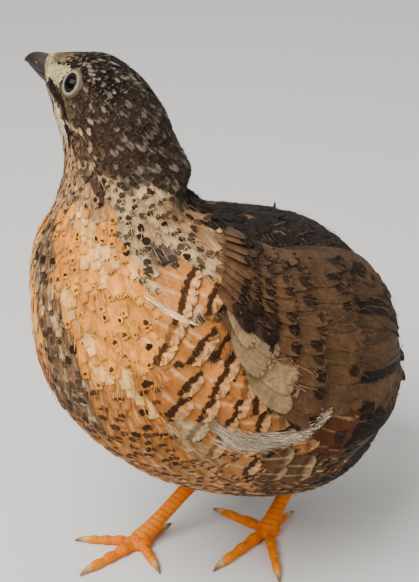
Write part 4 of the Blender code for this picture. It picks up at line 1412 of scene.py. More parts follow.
@dataclass
class Tail:
    """The short drooping tail and its coverts, above and below."""

    seed: int = 31
    half_turn: float = 0.5
    rows: tuple[FanRow, ...] = (
        FanRow("tail feathers", 10, (38.8, 41.7), 5.4, 3.4, 19.0, 44.0, 19.0, 5.2, 48.0, 2.4, 0.16, 1.0,
               BLACK_BROWN),
        FanRow("long upper coverts", 9, (38.8, 43.5), 5.2, 2.4, 23.0, 38.0, 15.0, 5.6, 44.0, 1.8, 0.16,
               1.0, BLACK_BROWN),
        FanRow("upper coverts", 8, (38.2, 44.7), 5.4, 2.4, 26.0, 33.0, 11.5, 5.6, 44.0, 1.4, 0.16, 1.0,
               BLACK_BROWN),
        FanRow("long under coverts", 8, (37.2, 28.8), 5.2, 0.0, 22.0, 22.0, 12.0, 6.2, -34.0, 1.6, 0.2,
               -1.0, TAUPE),
        FanRow("under coverts", 8, (36.4, 26.6), 6.0, 0.0, 26.0, 14.0, 9.5, 6.0, -40.0, 1.2, 0.2, -1.0,
               TAUPE),
    )

    def row_points(self, row: FanRow, vane: Vane, draw: Draw) -> Array:
        """Every corner of a row's feathers."""
        place = np.linspace(-1, 1, row.count) + draw.normal(0, 0.03, row.count)
        spread, fall = np.radians(row.spread * place), math.radians(row.fall)
        behind, high = np.full(row.count, row.root[0]), row.root[1] - row.arch * np.abs(place)
        root = np.stack([row.root_half_width * place, behind, high], 1)
        length = row.length * (1 - row.rounding * place**2) * (1 + draw.uniform(-0.04, 0.04, row.count))
        flat, steep = math.cos(fall), math.sin(fall)
        onwards = np.stack([np.sin(spread), np.cos(spread) * flat, -np.cos(spread) * steep], 1)
        roll = np.radians(row.roof * place)
        above = np.stack([np.sin(roll), np.cos(roll) * steep, np.cos(roll) * flat], 1)
        sideways = unit(np.cross(above, onwards))
        above = np.cross(onwards, sideways)
        rough = draw.normal(0, 1, (row.count, len(vane.across))) * vane.loose
        across = vane.across * (1 + 0.08 * rough)
        along = vane.along[None]
        points = root[:, None] + onwards[:, None] * (length[:, None] * along)[..., None]
        points = points + sideways[:, None] * (across * row.width / 2)[..., None]
        rise = -row.droop * along**2 * row.facing - 0.35 * across**2 * row.facing + 0.03 * rough
        return points + above[:, None] * (rise + 0.12 * place[:, None] * across)[..., None]

    def build(self, plumage: Plumage, material: Material) -> None:
        """Makes the tail in place of its solid."""
        draw = np.random.default_rng(self.seed)
        sheets = []
        for row in self.rows:
            vane = Vane(16, Outline.LONG, 0.82, 0.10)
            points = self.row_points(row, vane, draw)
            around = np.linspace(-self.half_turn, self.half_turn, row.count)
            around = around if row.facing > 0 else math.pi - around
            looks = plumage.pick(np.full(row.count, 1.0), around)
            looks["ground"] = np.array(row.ground) * np.exp(0.1 * draw.normal(0, 1, (row.count, 1)))
            station = np.full(row.count, 0.3) + 0.15 * self.rows.index(row)
            sheets.append(feather_sheet(points, vane, looks, unwrapped(station, around)))
        dressed(joined(sheets).build("tail_feathers", material), "flight_plumage", "tail")


@dataclass
class FlankPlumes:
    """The large barred flank feathers, whose bars line up across the flank in slanting columns.

    Columns are the stations of the bars, and rows the degrees from the back where the feathers lie.
    """

    seed: int = 41
    columns: tuple[float, ...] = (8.1, 7.6, 7.12, 6.6, 6.1, 5.6, 5.1)
    rows: tuple[float, ...] = (88.0, 97.0, 106.0, 115.0, 123.0)
    slant: float = 0.02
    reach: float = 0.6
    drop: float = 5.5
    lean: float = 0.42
    length: float = 10.5
    width: float = 7.4
    tan_to: float = 6.3
    tan_down_to: float = 119.0
    faint_from: float = 5.8

    def build(self, plumage: Plumage, material: Material) -> None:
        """Makes the plumes of both flanks."""
        draw = np.random.default_rng(self.seed)
        vane = Vane(44, Outline.BLUNT, 0.88, 0.16)
        sheets = []
        for side in (1, -1):
            bars, degrees = (grid.ravel() for grid in np.meshgrid(self.columns, self.rows))
            count = len(bars)
            station = bars + self.reach - self.slant * (degrees - 105) + draw.normal(0, 0.05, count)
            around = side * np.radians(degrees + self.drop + draw.normal(0, 1.3, count))
            batch = FeatherBatch(
                BODY,
                station,
                around,
                self.length * (1 + draw.uniform(-0.07, 0.07, count)),
                self.width / 2,
                -0.3,
                0.62 + draw.normal(0, 0.08, count),
                side * (self.lean + draw.normal(0, 0.05, count)),
                camber=0.2,
                fray=0.5,
            )
            looks = plumage.pick(station - 0.5, around)
            tan = np.array(ORANGE_TAN) * np.exp(0.09 * draw.normal(0, 1, (count, 1)))
            is_tan = (bars > self.tan_to) & (degrees < self.tan_down_to)
            looks["ground"] = np.where(is_tan[:, None], tan, looks["ground"])
            looks["ink"] = np.tile(INK, (count, 1))
            looks["marks_a"][:, 0] = 0.0
            bold = 0.95 - 0.45 * (bars < self.faint_from) - 0.35 * (draw.random(count) < 0.2)
            looks["marks_b"] = np.stack([bold, np.zeros(count), np.full(count, 0.25)], 1)
            looks["marks_c"] = np.stack([np.zeros(count), np.full(count, 0.3), draw.random(count)], 1)
            sheets.append(batch.sheet(vane, looks, draw))
        dressed(joined(sheets).build("barred_flank_feathers", material), "plumage")


@dataclass(frozen=True)
class Plait:
    """A pale streak or tuft laid along a few places of the body, the same on both sides.

    Loose is how far its feathers stray from the line, in millimetres, and count how many there are.
    """

    name: str
    places: tuple[tuple[float, float], ...]
    count: int
    length: float
    half_width: float
    loose: float
    lift: float
    ground: Colour


@dataclass
class PaleStreaks:
    """The cream streaks of the shoulder and flank, and the white tuft that hangs under the wing."""

    seed: int = 43
    fine_from: int = 100
    plaits: tuple[Plait, ...] = (
        Plait("shoulder end", ((8.6, 107.0), (8.35, 103.0), (8.1, 98.0)), 110, 4.0, 0.1, 0.6, 0.55,
              PALE_BUFF),
        Plait("flank line", ((7.2, 130.0), (6.7, 130.0), (6.2, 129.0)), 50, 4.5, 0.1, 1.1, 0.35, GREY_BUFF),
        Plait("tuft start", ((7.0, 112.0), (6.7, 114.5), (6.35, 114.5)), 200, 4.5, 0.06, 0.7, 0.5,
              GREY_BUFF),
        Plait("tuft", ((6.6, 115.0), (6.2, 113.0), (5.8, 107.5), (5.5, 102.0)), 1100, 5.5, 0.06, 1.35,
              0.9, OFF_WHITE),
        Plait("tuft tips", ((5.8, 106.0), (5.45, 99.5), (5.15, 93.0)), 520, 4.6, 0.05, 1.1, 2.3, OFF_WHITE),
        Plait("rear streaks", ((4.4, 112.0), (3.8, 104.0), (3.3, 98.0)), 60, 6.0, 0.09, 2.4, 0.5, SILVER),
    )

    def lines(self, plait: Plait, draw: Draw) -> tuple[Array, Array]:
        """The stations and angles of each feather's shaft, for the left side."""
        places = np.array(plait.places)
        fine = curve_rows(places, np.linspace(0, len(places) - 1, 60))
        points = BODY.surface(fine[:, 0], np.radians(fine[:, 1]))
        reached = travelled(points)
        start = reached[-1] * np.sqrt(draw.random(plait.count))
        length = plait.length * (0.55 + 0.7 * draw.random(plait.count))
        along = start[:, None] - 0.45 * length[:, None] + length[:, None] * np.linspace(0, 1, 7)[None]
        over = np.maximum(along - reached[-1], 0)[..., None]
        under = np.minimum(along, 0)[..., None]
        pace = (fine[-1] - fine[-8]) / (reached[-1] - reached[-8])
        first = (fine[7] - fine[0]) / (reached[7] - reached[0])
        at = np.stack([np.interp(along, reached, fine[:, i]) for i in range(2)], -1)
        at = at + over * pace + under * first
        swell = 0.3 + 0.7 * np.sin(math.pi * np.clip(start / reached[-1], 0, 1) ** 0.8)[:, None]
        stray = plait.loose * swell * draw.normal(0, 1, (plait.count, 1))
        stray = stray + 0.12 * plait.loose * (along - start[:, None]) * draw.normal(0, 1, (plait.count, 1))
        return at[..., 0] + 0.02 * stray, np.radians(at[..., 1]) + stray / 30

    def build(self, material: Material) -> None:
        """Makes every streak on both sides."""
        draw = np.random.default_rng(self.seed)
        sheets = []
        for plait in self.plaits:
            count = plait.count
            vane = Vane(3 if count > self.fine_from else 8, Outline.NARROW, 0.4, 0.2)
            for side in (1, -1):
                place, turn = self.lines(plait, draw)
                batch = FeatherBatch(
                    BODY,
                    place[:, 0],
                    side * turn[:, 0],
                    plait.length,
                    plait.half_width * (0.7 + 0.6 * draw.random(count)),
                    0.4 * plait.lift,
                    plait.lift * (1 + 0.15 * draw.normal(0, 1, count)),
                    camber=0.05,
                    path=(place, side * turn),
                )
                tone = np.exp(0.38 * draw.normal(0, 1, (count, 1)) - 0.22)
                looks = {"ground": np.array(plait.ground) * tone}
                sheets.append(batch.sheet(vane, looks, draw))
        dressed(joined(sheets).build("pale_streaks", material), "plumage")


@dataclass
class Wisps:
    """Single loose barbs over the whole coat, which soften its edge."""

    seed: int = 51
    count: int = 7000

    def build(self, plumage: Plumage, coat: Coat, material: Material) -> None:
        """Makes the wisps."""
        draw = np.random.default_rng(self.seed)
        tries = 3 * self.count
        station = 0.4 + 16.2 * draw.random(tries)
        around = math.tau * draw.random(tries) - math.pi
        _, along, across, _ = BODY.frames(station, around)
        area = np.linalg.norm(np.cross(along, across), axis=1) / coat.length_at(station)
        kept = draw.random(tries) < 1.6 * area / np.percentile(area, 95)
        kept &= coat.clear_of_face(station, around)
        station, around = station[kept][: self.count], around[kept][: self.count]
        count = len(station)
        size = coat.length_at(station)
        depth = coat.depth_at(station)
        degrees = np.abs(np.degrees(around))
        rise = coat.wing_thickness * wing_rise(station, degrees)
        batch = FeatherBatch(
            BODY,
            station,
            around,
            size * (0.3 + 0.3 * draw.random(count)),
            0.006 * size + 0.018,
            0.05 * depth + rise,
            0.35 * depth + rise + 0.2 * depth * draw.normal(0, 1, count),
            draw.normal(0, 0.3, count),
        )
        vane = Vane(2, Outline.NARROW, 0.6, 0.1)
        ground = plumage.pick(station, around)["ground"]
        looks = {"ground": ground * (0.9 + 0.5 * draw.random((count, 1)))}
        dressed(batch.sheet(vane, looks, draw).build("loose_barbs", material), "plumage")


@dataclass
class RaisedFeathers:
    """A few dark feathers that stand off the back."""

    seed: int = 81
    count: int = 6
    station: float = 3.9
    around: float = 5.0

    def build(self, material: Material) -> None:
        """Makes the feathers."""
        draw = np.random.default_rng(self.seed)
        count = self.count
        station = self.station + draw.normal(0, 0.12, count)
        around = np.radians(self.around + draw.normal(0, 3.0, count))
        batch = FeatherBatch(
            BODY,
            station,
            around,
            4.2 + draw.normal(0, 0.5, count),
            0.5,
            0.1,
            1.6 + draw.normal(0, 0.5, count),
            draw.normal(0, 0.4, count),
            camber=0.05,
        )
        vane = Vane(10, Outline.NARROW, 0.5, 0.2)
        looks = {"ground": np.tile(BLACK_BROWN, (count, 1))}
        dressed(batch.sheet(vane, looks, draw).build("raised_back_feathers", material), "plumage")


# Skin and thighs


@dataclass
class Skin:
    """One skin under the coat, from the tail to the bill and down both thighs."""

    rings: int = 210
    sides: int = 120
    thigh_rings: int = 30
    thigh_sides: int = 40
    thigh_depth: float = 0.35

    def body(self, coat: Coat, plumage: Plumage, material: Material) -> Piece:
        """The torso, neck and head in one closed surface."""
        station = np.linspace(0.02, 16.98, self.rings)
        around = np.linspace(-math.pi, math.pi, self.sides + 1)
        places, turns = np.meshgrid(station, around, indexing="ij")
        points = BODY.lifted(places, turns, -coat.depth_at(places))
        return self.closed("skin", points, unwrapped_grid(places, turns), places, turns, plumage, material)

    def closed(
        self,
        name: str,
        points: Array,
        uv: Array,
        places: Array,
        turns: Array,
        plumage: Plumage,
        material: Material,
    ) -> Piece:
        """A closed grid of rings with a map whose seam keeps its own corners.

        Args:
            name: The piece's name.
            points: The corners, with the last column on the first.
            uv: The unwrap of each corner.
            places: The stations that the colours are read at.
            turns: The angles that they are read at.
            plumage: What colours them.
            material: The finish.

        Returns:
            The object.
        """
        rows, columns = places.shape
        shape = bmesh.new()
        uv_layer = shape.loops.layers.uv.new("OFBake")
        tone = shape.verts.layers.float_vector.new("ground")
        colours = plumage.blend(places.ravel(), turns.ravel()).reshape(rows, columns, 3)
        grid = []
        for i in range(rows):
            ring = []
            for j in range(columns - 1):
                corner = shape.verts.new((points[i, j] + GROUND_SHIFT) * MM)
                corner[tone] = colours[i, j]
                ring.append(corner)
            grid.append(ring)
        for i in range(rows - 1):
            for j in range(columns - 1):
                after = (j + 1) % (columns - 1)
                face = shape.faces.new((grid[i][j], grid[i][after], grid[i + 1][after], grid[i + 1][j]))
                for loop, (a, b) in zip(face.loops, ((i, j), (i, j + 1), (i + 1, j + 1), (i + 1, j))):
                    loop[uv_layer].uv = uv[a, b]
        for ring, row in ((grid[0][::-1], 0), (grid[-1], rows - 1)):
            face = shape.faces.new(ring)
            for loop in face.loops:
                loop[uv_layer].uv = uv[row, 0]
        bmesh.ops.recalc_face_normals(shape, faces=shape.faces[:])
        mesh = bpy.data.meshes.new(name)
        shape.to_mesh(mesh)
        shape.free()
        mesh.shade_smooth()
        mesh.materials.append(material)
        return placed(name, mesh)

    def build(self, coat: Coat, plumage: Plumage, thighs: tuple[Thigh, ...], material: Material) -> None:
        """Makes the skin in place of the torso, neck, head and thighs."""
        skin = self.body(coat, plumage, material)
        extra = []
        for thigh in thighs:
            down = np.linspace(0.0, 0.98, self.thigh_rings)
            around = np.linspace(-math.pi, math.pi, self.thigh_sides + 1)
            places, turns = np.meshgrid(down, around, indexing="ij")
            points = thigh.form.lifted(places, turns, -self.thigh_depth)
            uv = thigh.unwrapped(places, turns)
            belly, front = np.full_like(places, 5.0), np.full_like(turns, math.pi)
            extra.append(self.closed("thigh", points, uv, belly, front, plumage, material))
        union(skin, extra)
        dressed(skin, "plumage", "torso", "neck", "head", "thigh_left", "thigh_right")


def unwrapped_grid(places: Array, turns: Array) -> Array:
    """The unwrap of a grid whose last column closes on its first."""
    uv = unwrapped(places, turns)
    uv[:, -1, 0] = 0.99
    return uv


def union(target: Piece, others: list[Piece]) -> None:
    """Joins closed meshes into a target as one closed surface."""
    group = bpy.data.collections.new("joined_pieces")
    bpy.context.scene.collection.children.link(group)
    for other in others:
        bpy.context.scene.collection.objects.unlink(other)
        group.objects.link(other)
    modifier = target.modifiers.new("join", "BOOLEAN")
    modifier.operation = "UNION"
    modifier.operand_type = "COLLECTION"
    modifier.collection = group
    modifier.solver = "EXACT"
    apply_modifiers(target)
    for other in others:
        bpy.data.objects.remove(other)
    bpy.data.collections.remove(group)


def apply_modifiers(target: Piece) -> None:
    """Keeps the mesh that an object's modifiers make."""
    bpy.context.view_layer.update()
    graph = bpy.context.evaluated_depsgraph_get()
    mesh = bpy.data.meshes.new_from_object(target.evaluated_get(graph))
    target.modifiers.clear()
    target.data = mesh
    mesh.shade_smooth()


@dataclass
class Thigh:
    """A feathered thigh. number is 0 or 1, for its own draw and its own place on the unwrap."""

    word: str
    hock: Spot
    knee: Spot
    number: int
    count: int = 520
    seed: int = 71

    @property
    def form(self) -> ThighForm:
        """The thigh's surface."""
        return ThighForm(self.hock, self.knee)

    def unwrapped(self, place: Array, around: Array) -> Array:
        """A place of the thigh on the skin's flat unwrap, in a strip above the body's."""
        turn = (np.asarray(around) + math.pi) / (2 * math.pi + 1e-6)
        return np.stack([0.02 + 0.5 * self.number + 0.45 * turn, 0.955 + 0.035 * np.asarray(place)],
                        axis=-1)

    def build(self, plumage: Plumage, material: Material) -> None:
        """Makes the thigh's small feathers."""
        draw = np.random.default_rng(self.seed + self.number)
        count = self.count
        station = 0.03 + 0.8 * draw.random(count)
        around = math.tau * draw.random(count) - math.pi
        batch = FeatherBatch(
            self.form,
            station,
            around,
            2.6 + 1.2 * draw.random(count),
            0.55 + 0.3 * draw.random(count),
            -0.3,
            0.18 + 0.1 * draw.normal(0, 1, count),
            draw.normal(0, 0.15, count),
            camber=0.08,
        )
        vane = Vane(7, Outline.ROUND)
        looks = plumage.pick(np.full(count, 5.0), np.full(count, 2.8))
        sheet = batch.sheet(vane, looks, draw, self.unwrapped(station, around))
        dressed(sheet.build(f"thigh_{self.word}_feathers", material), "plumage")


# Head


@dataclass
class Eye:
    """An eyeball, and the lids that ring it.

    The lid is traced by how far out from the opening's edge and how high over the eyeball's middle it runs.
    """

    place: EyePlace
    word: str
    cornea: float = 0.22
    cornea_angle: float = 0.42
    iris_radius: float = 2.1
    lid: tuple[tuple[float, float], ...] = (
        (0.02, 1.2), (-0.04, 2.0), (0.0, 2.3), (0.08, 2.42), (0.2, 2.46), (0.32, 2.42),
        (0.42, 2.36), (0.52, 2.36), (0.62, 2.28), (0.78, 2.1), (0.98, 1.85), (1.25, 1.45),
    )

    def build(self, wet: Material, bare: Material) -> None:
        """Makes the eye and its lids."""
        outwards, along, up = self.place.axes
        centre, radius = self.place.centre, self.place.radius
        tilts = np.linspace(0.03, math.pi - 0.03, 40)
        turns = np.linspace(0, math.tau, 56, endpoint=False)
        bulge = radius + self.cornea * np.exp(-((tilts / self.cornea_angle) ** 2))
        spokes = np.cos(turns)[:, None] * along + np.sin(turns)[:, None] * up
        rings = centre + bulge[:, None, None] * (
            np.cos(tilts)[:, None, None] * outwards + np.sin(tilts)[:, None, None] * spokes[None]
        )
        sheet = Sheet(*capped(rings))
        ring = np.sin(np.minimum(tilts, math.pi / 2)) * radius / self.iris_radius
        ring = np.repeat(ring, len(turns))
        growth = np.stack([ring, np.tile(turns, len(tilts)), 0 * ring], 1)
        sheet.values["growth"] = np.concatenate([growth, [[0, 0, 0], [2, 0, 0]]])
        dressed(sheet.build(f"eyeball_{self.word}", wet), "eye", f"eye_{self.word}")
        self.build_lids(bare, outwards, along, up)

    def build_lids(self, bare: Material, outwards: Array, along: Array, up: Array) -> None:
        """Makes the rolled ring of the lids, from inside the opening out to the skin."""
        turns = np.linspace(0, math.tau, 72, endpoint=False)
        centre = self.place.centre
        rings = []
        for out, height in self.lid:
            long, tall = self.place.opening_long + out, self.place.opening_tall + out
            pinch = 1 + 0.05 * np.cos(2 * turns)
            edge = np.cos(turns)[:, None] * along * long + np.sin(turns)[:, None] * up * tall
            wave = 0.03 * np.sin(9 * turns + 7 * out)[:, None] * outwards
            rings.append(centre + edge * pinch[:, None] + outwards * height + wave)
        rings = np.array(rings)
        sheet = Sheet(rings.reshape(-1, 3), ring_faces(len(rings), len(turns)))
        part = np.repeat(np.linspace(0, 1, len(self.lid)), len(turns))
        sheet.values["growth"] = np.stack([part, np.tile(turns, len(self.lid)), 0 * part], 1)
        dressed(sheet.build(f"lids_{self.word}", bare), "plumage")


@dataclass(frozen=True)
class BillSection:
    """One slice of a half of the bill: how far forward, its top, its bottom and its half width."""

    forward: float
    top: float
    bottom: float
    half_width: float


@dataclass
class Bill:
    """The short bill in two halves, with a nostril under a flap on each side."""

    upper: tuple[BillSection, ...] = (
        BillSection(13.05, 115.2, 111.9, 2.2),
        BillSection(14.5, 115.25, 112.25, 1.9),
        BillSection(16.3, 115.05, 112.65, 1.4),
        BillSection(17.9, 114.45, 112.9, 0.85),
        BillSection(19.2, 113.5, 112.85, 0.3),
    )
    lower: tuple[BillSection, ...] = (
        BillSection(12.5, 111.5, 109.1, 2.05),
        BillSection(13.9, 111.8, 109.6, 1.75),
        BillSection(15.6, 112.2, 110.6, 1.25),
        BillSection(17.1, 112.45, 111.6, 0.75),
        BillSection(18.2, 112.55, 112.2, 0.3),
    )
    nostril: tuple[float, float] = (14.7, 113.7)
    rings: int = 46
    sides: int = 40

    def half(self, sections: tuple[BillSection, ...], is_upper: bool) -> Sheet:
        """One half of the bill as a closed surface."""
        rows = np.array([(s.forward, s.top, s.bottom, s.half_width) for s in sections])
        face = STATIONS[-1]
        lean = (face.back[0] - face.front[0]) / (face.back[1] - face.front[1])
        meeting = sections[0].bottom if is_upper else sections[0].top
        reach = rows[-1, 0] - rows[0, 0]
        angles = np.linspace(0, math.pi, self.sides - 7)
        rings, growth = [], []
        for part in np.linspace(-0.22, 1.0, self.rings):
            row = curve_rows(rows, np.array(max(part, 0.0) * (len(rows) - 1)))
            forward, top, bottom, wide = row
            forward += min(part, 0.0) * reach
            edge, tall = (bottom, top - bottom) if is_upper else (top, bottom - top)
            tilt = lean * (1 - (forward - rows[0, 0]) / reach)
            ring = []
            for angle in angles:
                height = edge + tall * math.sin(angle) ** 0.85
                side = wide * math.cos(angle)
                ring.append(head_place(forward + tilt * (height - meeting), side, height))
            for share in np.linspace(-0.85, 0.85, 7):
                ring.append(head_place(forward + tilt * (edge - meeting), wide * share, edge))
            rings.append(ring)
            growth += [(max(part, 0.0), 2 * abs(i / len(ring) - 0.5), 0.0) for i in range(len(ring))]
        rings = np.array(rings)
        if is_upper:
            rings = self.with_nostrils(rings)
        sheet = Sheet(*capped(rings))
        sheet.values["growth"] = np.array([*growth, (0, 0, 0), (1, 0, 0)])
        return sheet

    def with_nostrils(self, rings: Array) -> Array:
        """Sinks a slit on each side under a low flap."""
        forward, height = self.nostril
        offset = rings - HEAD_PIVOT
        ahead, side, high = offset @ HEAD_AHEAD, offset @ HEAD_LEFT, rings[..., 2]
        slant = high - height - 0.22 * (ahead - forward)
        slit = np.exp(-(((ahead - forward) / 0.62) ** 2) - (slant / 0.2) ** 2)
        flap = np.exp(-(((ahead - forward) / 0.9) ** 2) - ((slant - 0.42) / 0.26) ** 2)
        inwards = -np.sign(side)[..., None] * HEAD_LEFT
        near = (np.abs(side) > 0.5)[..., None]
        return rings + near * inwards * (0.55 * slit - 0.14 * flap)[..., None]

    def build(self, horn: Material) -> None:
        """Makes both halves in place of their solids."""
        dressed(self.half(self.upper, True).build("upper_bill", horn), "bill", "bill_upper")
        dressed(self.half(self.lower, False).build("lower_bill", horn), "bill", "bill_lower")


# Legs


@dataclass(frozen=True)
class Toe:
    """A toe: its name, heading in degrees from +X, length, thickness at its root and pads."""

    name: str
    heading: float
    length: float
    radius: float
    pads: int


@dataclass
class Leg:
    """A bare leg from the hock down: the shank, the hub of the foot, the toes and the claws."""

    word: str
    foot: tuple[float, float]
    hock: Spot
    toes: tuple[Toe, ...]
    shank_radius: float = 1.55
    hub_radius: float = 3.0
    hub_height: float = 2.1
    claw_length: float = 3.0
    flat: float = 0.86
    voxel: float = 0.17

    def shank_line(self) -> tuple[Array, Array]:
        """The shank's path and thickness, from inside the thigh down into the hub."""
        top, hub = np.array(self.hock), np.array([*self.foot, self.hub_height * 0.75])
        parts = np.linspace(-0.12, 1.0, 16)
        radii = np.interp(parts, [-0.12, 0, 0.3, 0.6, 0.85, 1.0], [1.2, 1.12, 1.0, 1.0, 1.2, 1.5])
        return top + (hub - top) * parts[:, None], self.shank_radius * radii

    def toe_line(self, toe: Toe) -> tuple[Array, Array]:
        """A toe's path and thickness, from the hub's middle to the claw."""
        angle = math.radians(toe.heading)
        along = np.array([math.cos(angle), math.sin(angle), 0.0])
        parts = np.linspace(-0.3, 1.0, 10 * toe.pads)
        pads = 0.5 - 0.5 * np.cos(2 * math.pi * np.clip(parts, 0, 1) * toe.pads)
        radii = toe.radius * (1.0 - 0.28 * np.clip(parts, 0, 1)) * (0.9 + 0.2 * pads)
        radii = radii * np.where(parts < 0, 1 - 0.2 * parts, 1.0)
        centre = np.array([*self.foot, 0.0]) + along * (self.hub_radius + 0.3 + toe.length * parts[:, None])
        centre[:, 2] = self.flat * radii
        return centre, radii

    def skin(self, finish: Material) -> Piece:
        """The leg's skin in one closed surface, grooved between its scutes."""
        lines = [self.shank_line()] + [self.toe_line(toe) for toe in self.toes]
        shape = bmesh.new()
        for number, (path, radii) in enumerate(lines):
            self.add_closed(shape, tube(path, radii, 20, UP, 1.15 if number == 0 else 1.0))
        hub = np.array([[*self.foot, z] for z in (0.0, 0.4, 1.2, 2.0, 2.9)])
        size = self.hub_radius * np.array([0.7, 0.86, 0.98, 0.88, 0.55])
        self.add_closed(shape, tube(hub, size, 20, np.array([0.0, 1.0, 0.0])))
        mesh = bpy.data.meshes.new("leg")
        shape.to_mesh(mesh)
        shape.free()
        piece = placed(f"leg_{self.word}_skin", mesh)
        remesh = piece.modifiers.new("fuse", "REMESH")
        remesh.mode = "VOXEL"
        remesh.voxel_size = self.voxel * MM
        relax = piece.modifiers.new("relax", "SMOOTH")
        relax.factor = 0.5
        relax.iterations = 5
        apply_modifiers(piece)
        self.groove(piece.data, lines)
        piece.data.materials.clear()
        piece.data.materials.append(finish)
        return piece

    @staticmethod
    def add_closed(shape: bmesh.types.BMesh, rings: Array) -> None:
        """Adds a closed tube to a mesh, kept above the floor."""
        points, faces = capped(rings)
        points = points + GROUND_SHIFT
        points[:, 2] = np.maximum(points[:, 2], 0.02)
        corners = [shape.verts.new(point * MM) for point in points]
        for face in faces:
            shape.faces.new([corners[i] for i in face])
        bmesh.ops.recalc_face_normals(shape, faces=shape.faces[:])

    def groove(self, mesh: bpy.types.Mesh, lines: list[tuple[Array, Array]]) -> None:
        """Cuts the lines between scutes, and notes how far down the leg each corner is."""
        count = len(mesh.vertices)
        points, normals = np.empty(3 * count, np.float32), np.empty(3 * count, np.float32)
        mesh.vertices.foreach_get("co", points)
        mesh.vertices.foreach_get("normal", normals)
        points = points.reshape(-1, 3).astype(float) / MM - GROUND_SHIFT
        normals = normals.reshape(-1, 3).astype(float)
        nearest, reach, number = np.full(count, 1e9), np.zeros(count), np.zeros(count, int)
        for index, (path, _) in enumerate(lines):
            length = travelled(path)
            fine = np.linspace(0, length[-1], 120)
            dense = np.stack([np.interp(fine, length, path[:, axis]) for axis in range(3)], 1)
            gap = np.linalg.norm(points[:, None] - dense[None], axis=2)
            best = gap.argmin(axis=1)
            closer = gap[np.arange(count), best] < nearest
            nearest = np.where(closer, gap[np.arange(count), best], nearest)
            reach = np.where(closer, fine[best], reach)
            number = np.where(closer, index, number)
        on_toe = number > 0
        pitch = np.where(on_toe, 0.85, 1.35)
        slant = np.where(on_toe, 0.0, 0.35 * normals[:, 0])
        phase = np.abs((reach / pitch + slant) % 1.0 - 0.5) * 2
        above = smooth_step(normals[:, 2], -0.1, 0.3)
        facing = np.where(on_toe, above, smooth_step(-normals[:, 1], -0.35, 0.1))
        groove = smooth_step(phase, 0.72, 0.98) * facing
        swell = 0.5 * np.sin(math.pi * np.clip(phase, 0, 1)) * facing
        points = points + normals * (0.04 * swell - 0.07 * groove)[:, None]
        points[:, 2] = np.maximum(points[:, 2], 0.0)
        mesh.vertices.foreach_set("co", ((points + GROUND_SHIFT) * MM).astype(np.float32).ravel())
        total = np.array([travelled(path)[-1] for path, _ in lines])
        down = np.where(on_toe, 0.45 + 0.55 * reach / total[number], 0.45 * reach / total[0])
        growth = np.stack([down, groove, 0 * down], 1).astype(np.float32)
        mesh.attributes.new("growth", "FLOAT_VECTOR", "POINT").data.foreach_set("vector", growth.ravel())
        mesh.update()

    def claws(self, horn: Material) -> list[Piece]:
        """The claws, curved down to the floor."""
        made = []
        for toe in self.toes:
            path, radii = self.toe_line(toe)
            onwards = unit(path[-1] - path[-2])
            parts = np.linspace(-0.25, 1.0, 22)
            end = radii[-1]
            size = end * 0.82 * (1 - np.clip(parts, 0, 1)) ** 0.8 + 0.09
            size = size * np.where(parts < 0, 0.85, 1.0)
            high = np.maximum(end * (1.12 - 0.85 * np.clip(parts, 0, 1) ** 1.8), size)
            line = path[-1] + onwards * (self.claw_length * parts + 0.1)[:, None]
            line[:, 2] = high
            points, faces = capped(tube(line, size, 16, UP, 1.15))
            points[:, 2] = np.maximum(points[:, 2], 0.0)
            sheet = Sheet(points, faces)
            part = np.repeat(np.clip(parts, 0, 1), 16)
            turn = np.tile(np.linspace(0, 1, 16, endpoint=False), len(parts))
            growth = np.stack([part, np.abs(2 * turn - 1), 0 * part], 1)
            sheet.values["growth"] = np.concatenate([growth, [[0, 0, 0], [1, 0, 0]]])
            made.append(sheet.build(f"{self.word}_{toe.name}_toe_claw", horn))
        return made

    def build(self, finish: Material, horn: Material) -> None:
        """Makes the leg in place of its solids."""
        names = [f"toe_{self.word}_{toe.name}" for toe in self.toes]
        dressed(self.skin(finish), "leg_skin", f"shank_{self.word}", *names)
        for toe, claw in zip(self.toes, self.claws(horn)):
            dressed(claw, "claw", f"claw_{self.word}_{toe.name}")


RIGHT_HOCK, LEFT_HOCK = (-8.0, -3.2, 13.4), (5.9, 15.0, 14.0)
THIGHS = (
    Thigh("right", RIGHT_HOCK, (-12.5, -9.0, 33.0), 0),
    Thigh("left", LEFT_HOCK, (12.5, 6.0, 32.0), 1),
)
RIGHT_TOES = (
    Toe("back", 97.0, 4.4, 0.9, 1),
    Toe("inner", 342.0, 5.2, 1.2, 2),
    Toe("middle", 268.0, 10.8, 1.35, 3),
    Toe("outer", 221.0, 8.9, 1.2, 3),
)
LEFT_TOES = (
    Toe("back", 100.0, 4.4, 0.9, 1),
    Toe("inner", 191.0, 9.4, 1.2, 2),
    Toe("middle", 275.0, 12.6, 1.35, 3),
    Toe("outer", 323.0, 12.0, 1.2, 3),
)
LEGS = (
    Leg("right", (-11.0, -18.5), RIGHT_HOCK, RIGHT_TOES),
    Leg("left", (5.8, 6.0), LEFT_HOCK, LEFT_TOES),
)


# Studio


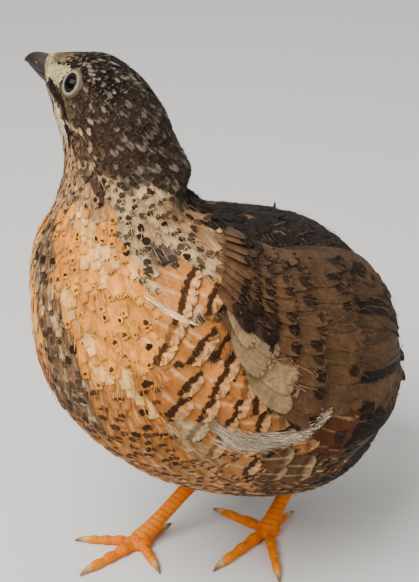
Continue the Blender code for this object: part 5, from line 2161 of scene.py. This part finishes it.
@dataclass(frozen=True)
class Studio:
    """The floor, the soft lights and the camera at the photograph's angle.

    A lamp is its name, azimuth, elevation, distance in millimetres, side in metres and power in watts.
    """

    azimuth: float = 47.0
    elevation: float = 27.0
    distance: float = 304.0
    target: Spot = (-12.26, 4.37, 57.0)
    lens: float = 85.1
    lamps: tuple[tuple[str, float, float, float, float, float], ...] = (
        ("key_light", 5.0, 50.0, 520.0, 0.35, 5.2),
        ("fill_light", 100.0, 35.0, 700.0, 0.7, 1.2),
        ("back_light", 215.0, 50.0, 600.0, 0.6, 1.5),
    )
    air_colour: Colour = (0.86, 0.88, 0.9)
    air_strength: float = 0.5
    floor_half: float = 3.0

    def direction(self, azimuth: float, elevation: float) -> Array:
        """The unit vector towards a viewer at these angles."""
        turn, rise = math.radians(azimuth), math.radians(elevation)
        return np.array([math.sin(turn) * math.cos(rise), -math.cos(turn) * math.cos(rise), math.sin(rise)])

    def aim(self, thing: Piece, azimuth: float, elevation: float, distance: float) -> None:
        """Places a lamp or the camera round the target, looking at it."""
        target = (np.array(self.target) + GROUND_SHIFT) * MM
        away = self.direction(azimuth, elevation)
        thing.location = target + away * distance * MM
        thing.rotation_mode = "QUATERNION"
        thing.rotation_quaternion = Vector(-away).to_track_quat("-Z", "Y")

    def build(self) -> None:
        """Makes the studio."""
        mesh = bpy.data.meshes.new("studio_floor")
        half = self.floor_half
        corners = [(-half, -half, 0), (half, -half, 0), (half, half, 0), (-half, half, 0)]
        mesh.from_pydata(corners, [], [(0, 1, 2, 3)])
        mesh.materials.append(FloorFinish().material())
        placed("studio_floor", mesh)
        for name, azimuth, elevation, distance, size, power in self.lamps:
            light = bpy.data.lights.new(name, "AREA")
            light.size = size
            light.energy = power
            self.aim(placed(name, light), azimuth, elevation, distance)
        world = bpy.context.scene.world or bpy.data.worlds.new("studio_air")
        bpy.context.scene.world = world
        world.use_nodes = True
        air = world.node_tree.nodes["Background"]
        air.inputs["Color"].default_value = (*self.air_colour, 1.0)
        air.inputs["Strength"].default_value = self.air_strength
        data = bpy.data.cameras.new("photo_view")
        data.lens, data.sensor_width = self.lens, 36.0
        data.clip_start, data.clip_end = 0.01, 20.0
        camera = placed("photo_view", data)
        self.aim(camera, self.azimuth, self.elevation, self.distance)
        bpy.context.scene.camera = camera


def main() -> None:
    """Loads the solids, dresses them and sets the studio."""
    logging.basicConfig(level=logging.INFO, format="%(message)s")
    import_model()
    plumage, coat = Plumage(5), Coat()
    vanes, down = FeatherFinish().material(), DownFinish().material()
    Skin().build(coat, plumage, THIGHS, SkinFinish().material())
    coat.build(plumage, vanes)
    for side, word in ((1, "left"), (-1, "right")):
        Wing(side, word).build(plumage, vanes)
    Tail().build(plumage, vanes)
    FlankPlumes().build(plumage, vanes)
    PaleStreaks().build(down)
    Wisps().build(plumage, coat, down)
    RaisedFeathers().build(down)
    for thigh in THIGHS:
        thigh.build(plumage, vanes)
    wet, bare = EyeFinish().material(), LidFinish().material()
    for place, word in zip(EYES, ("left", "right")):
        Eye(place, word).build(wet, bare)
    Bill().build(BILL_HORN.material())
    leg_skin, claw_horn = LegFinish().material(), CLAW_HORN.material()
    for leg in LEGS:
        leg.build(leg_skin, claw_horn)
    Studio().build()


if __name__ == "__main__":
    main()
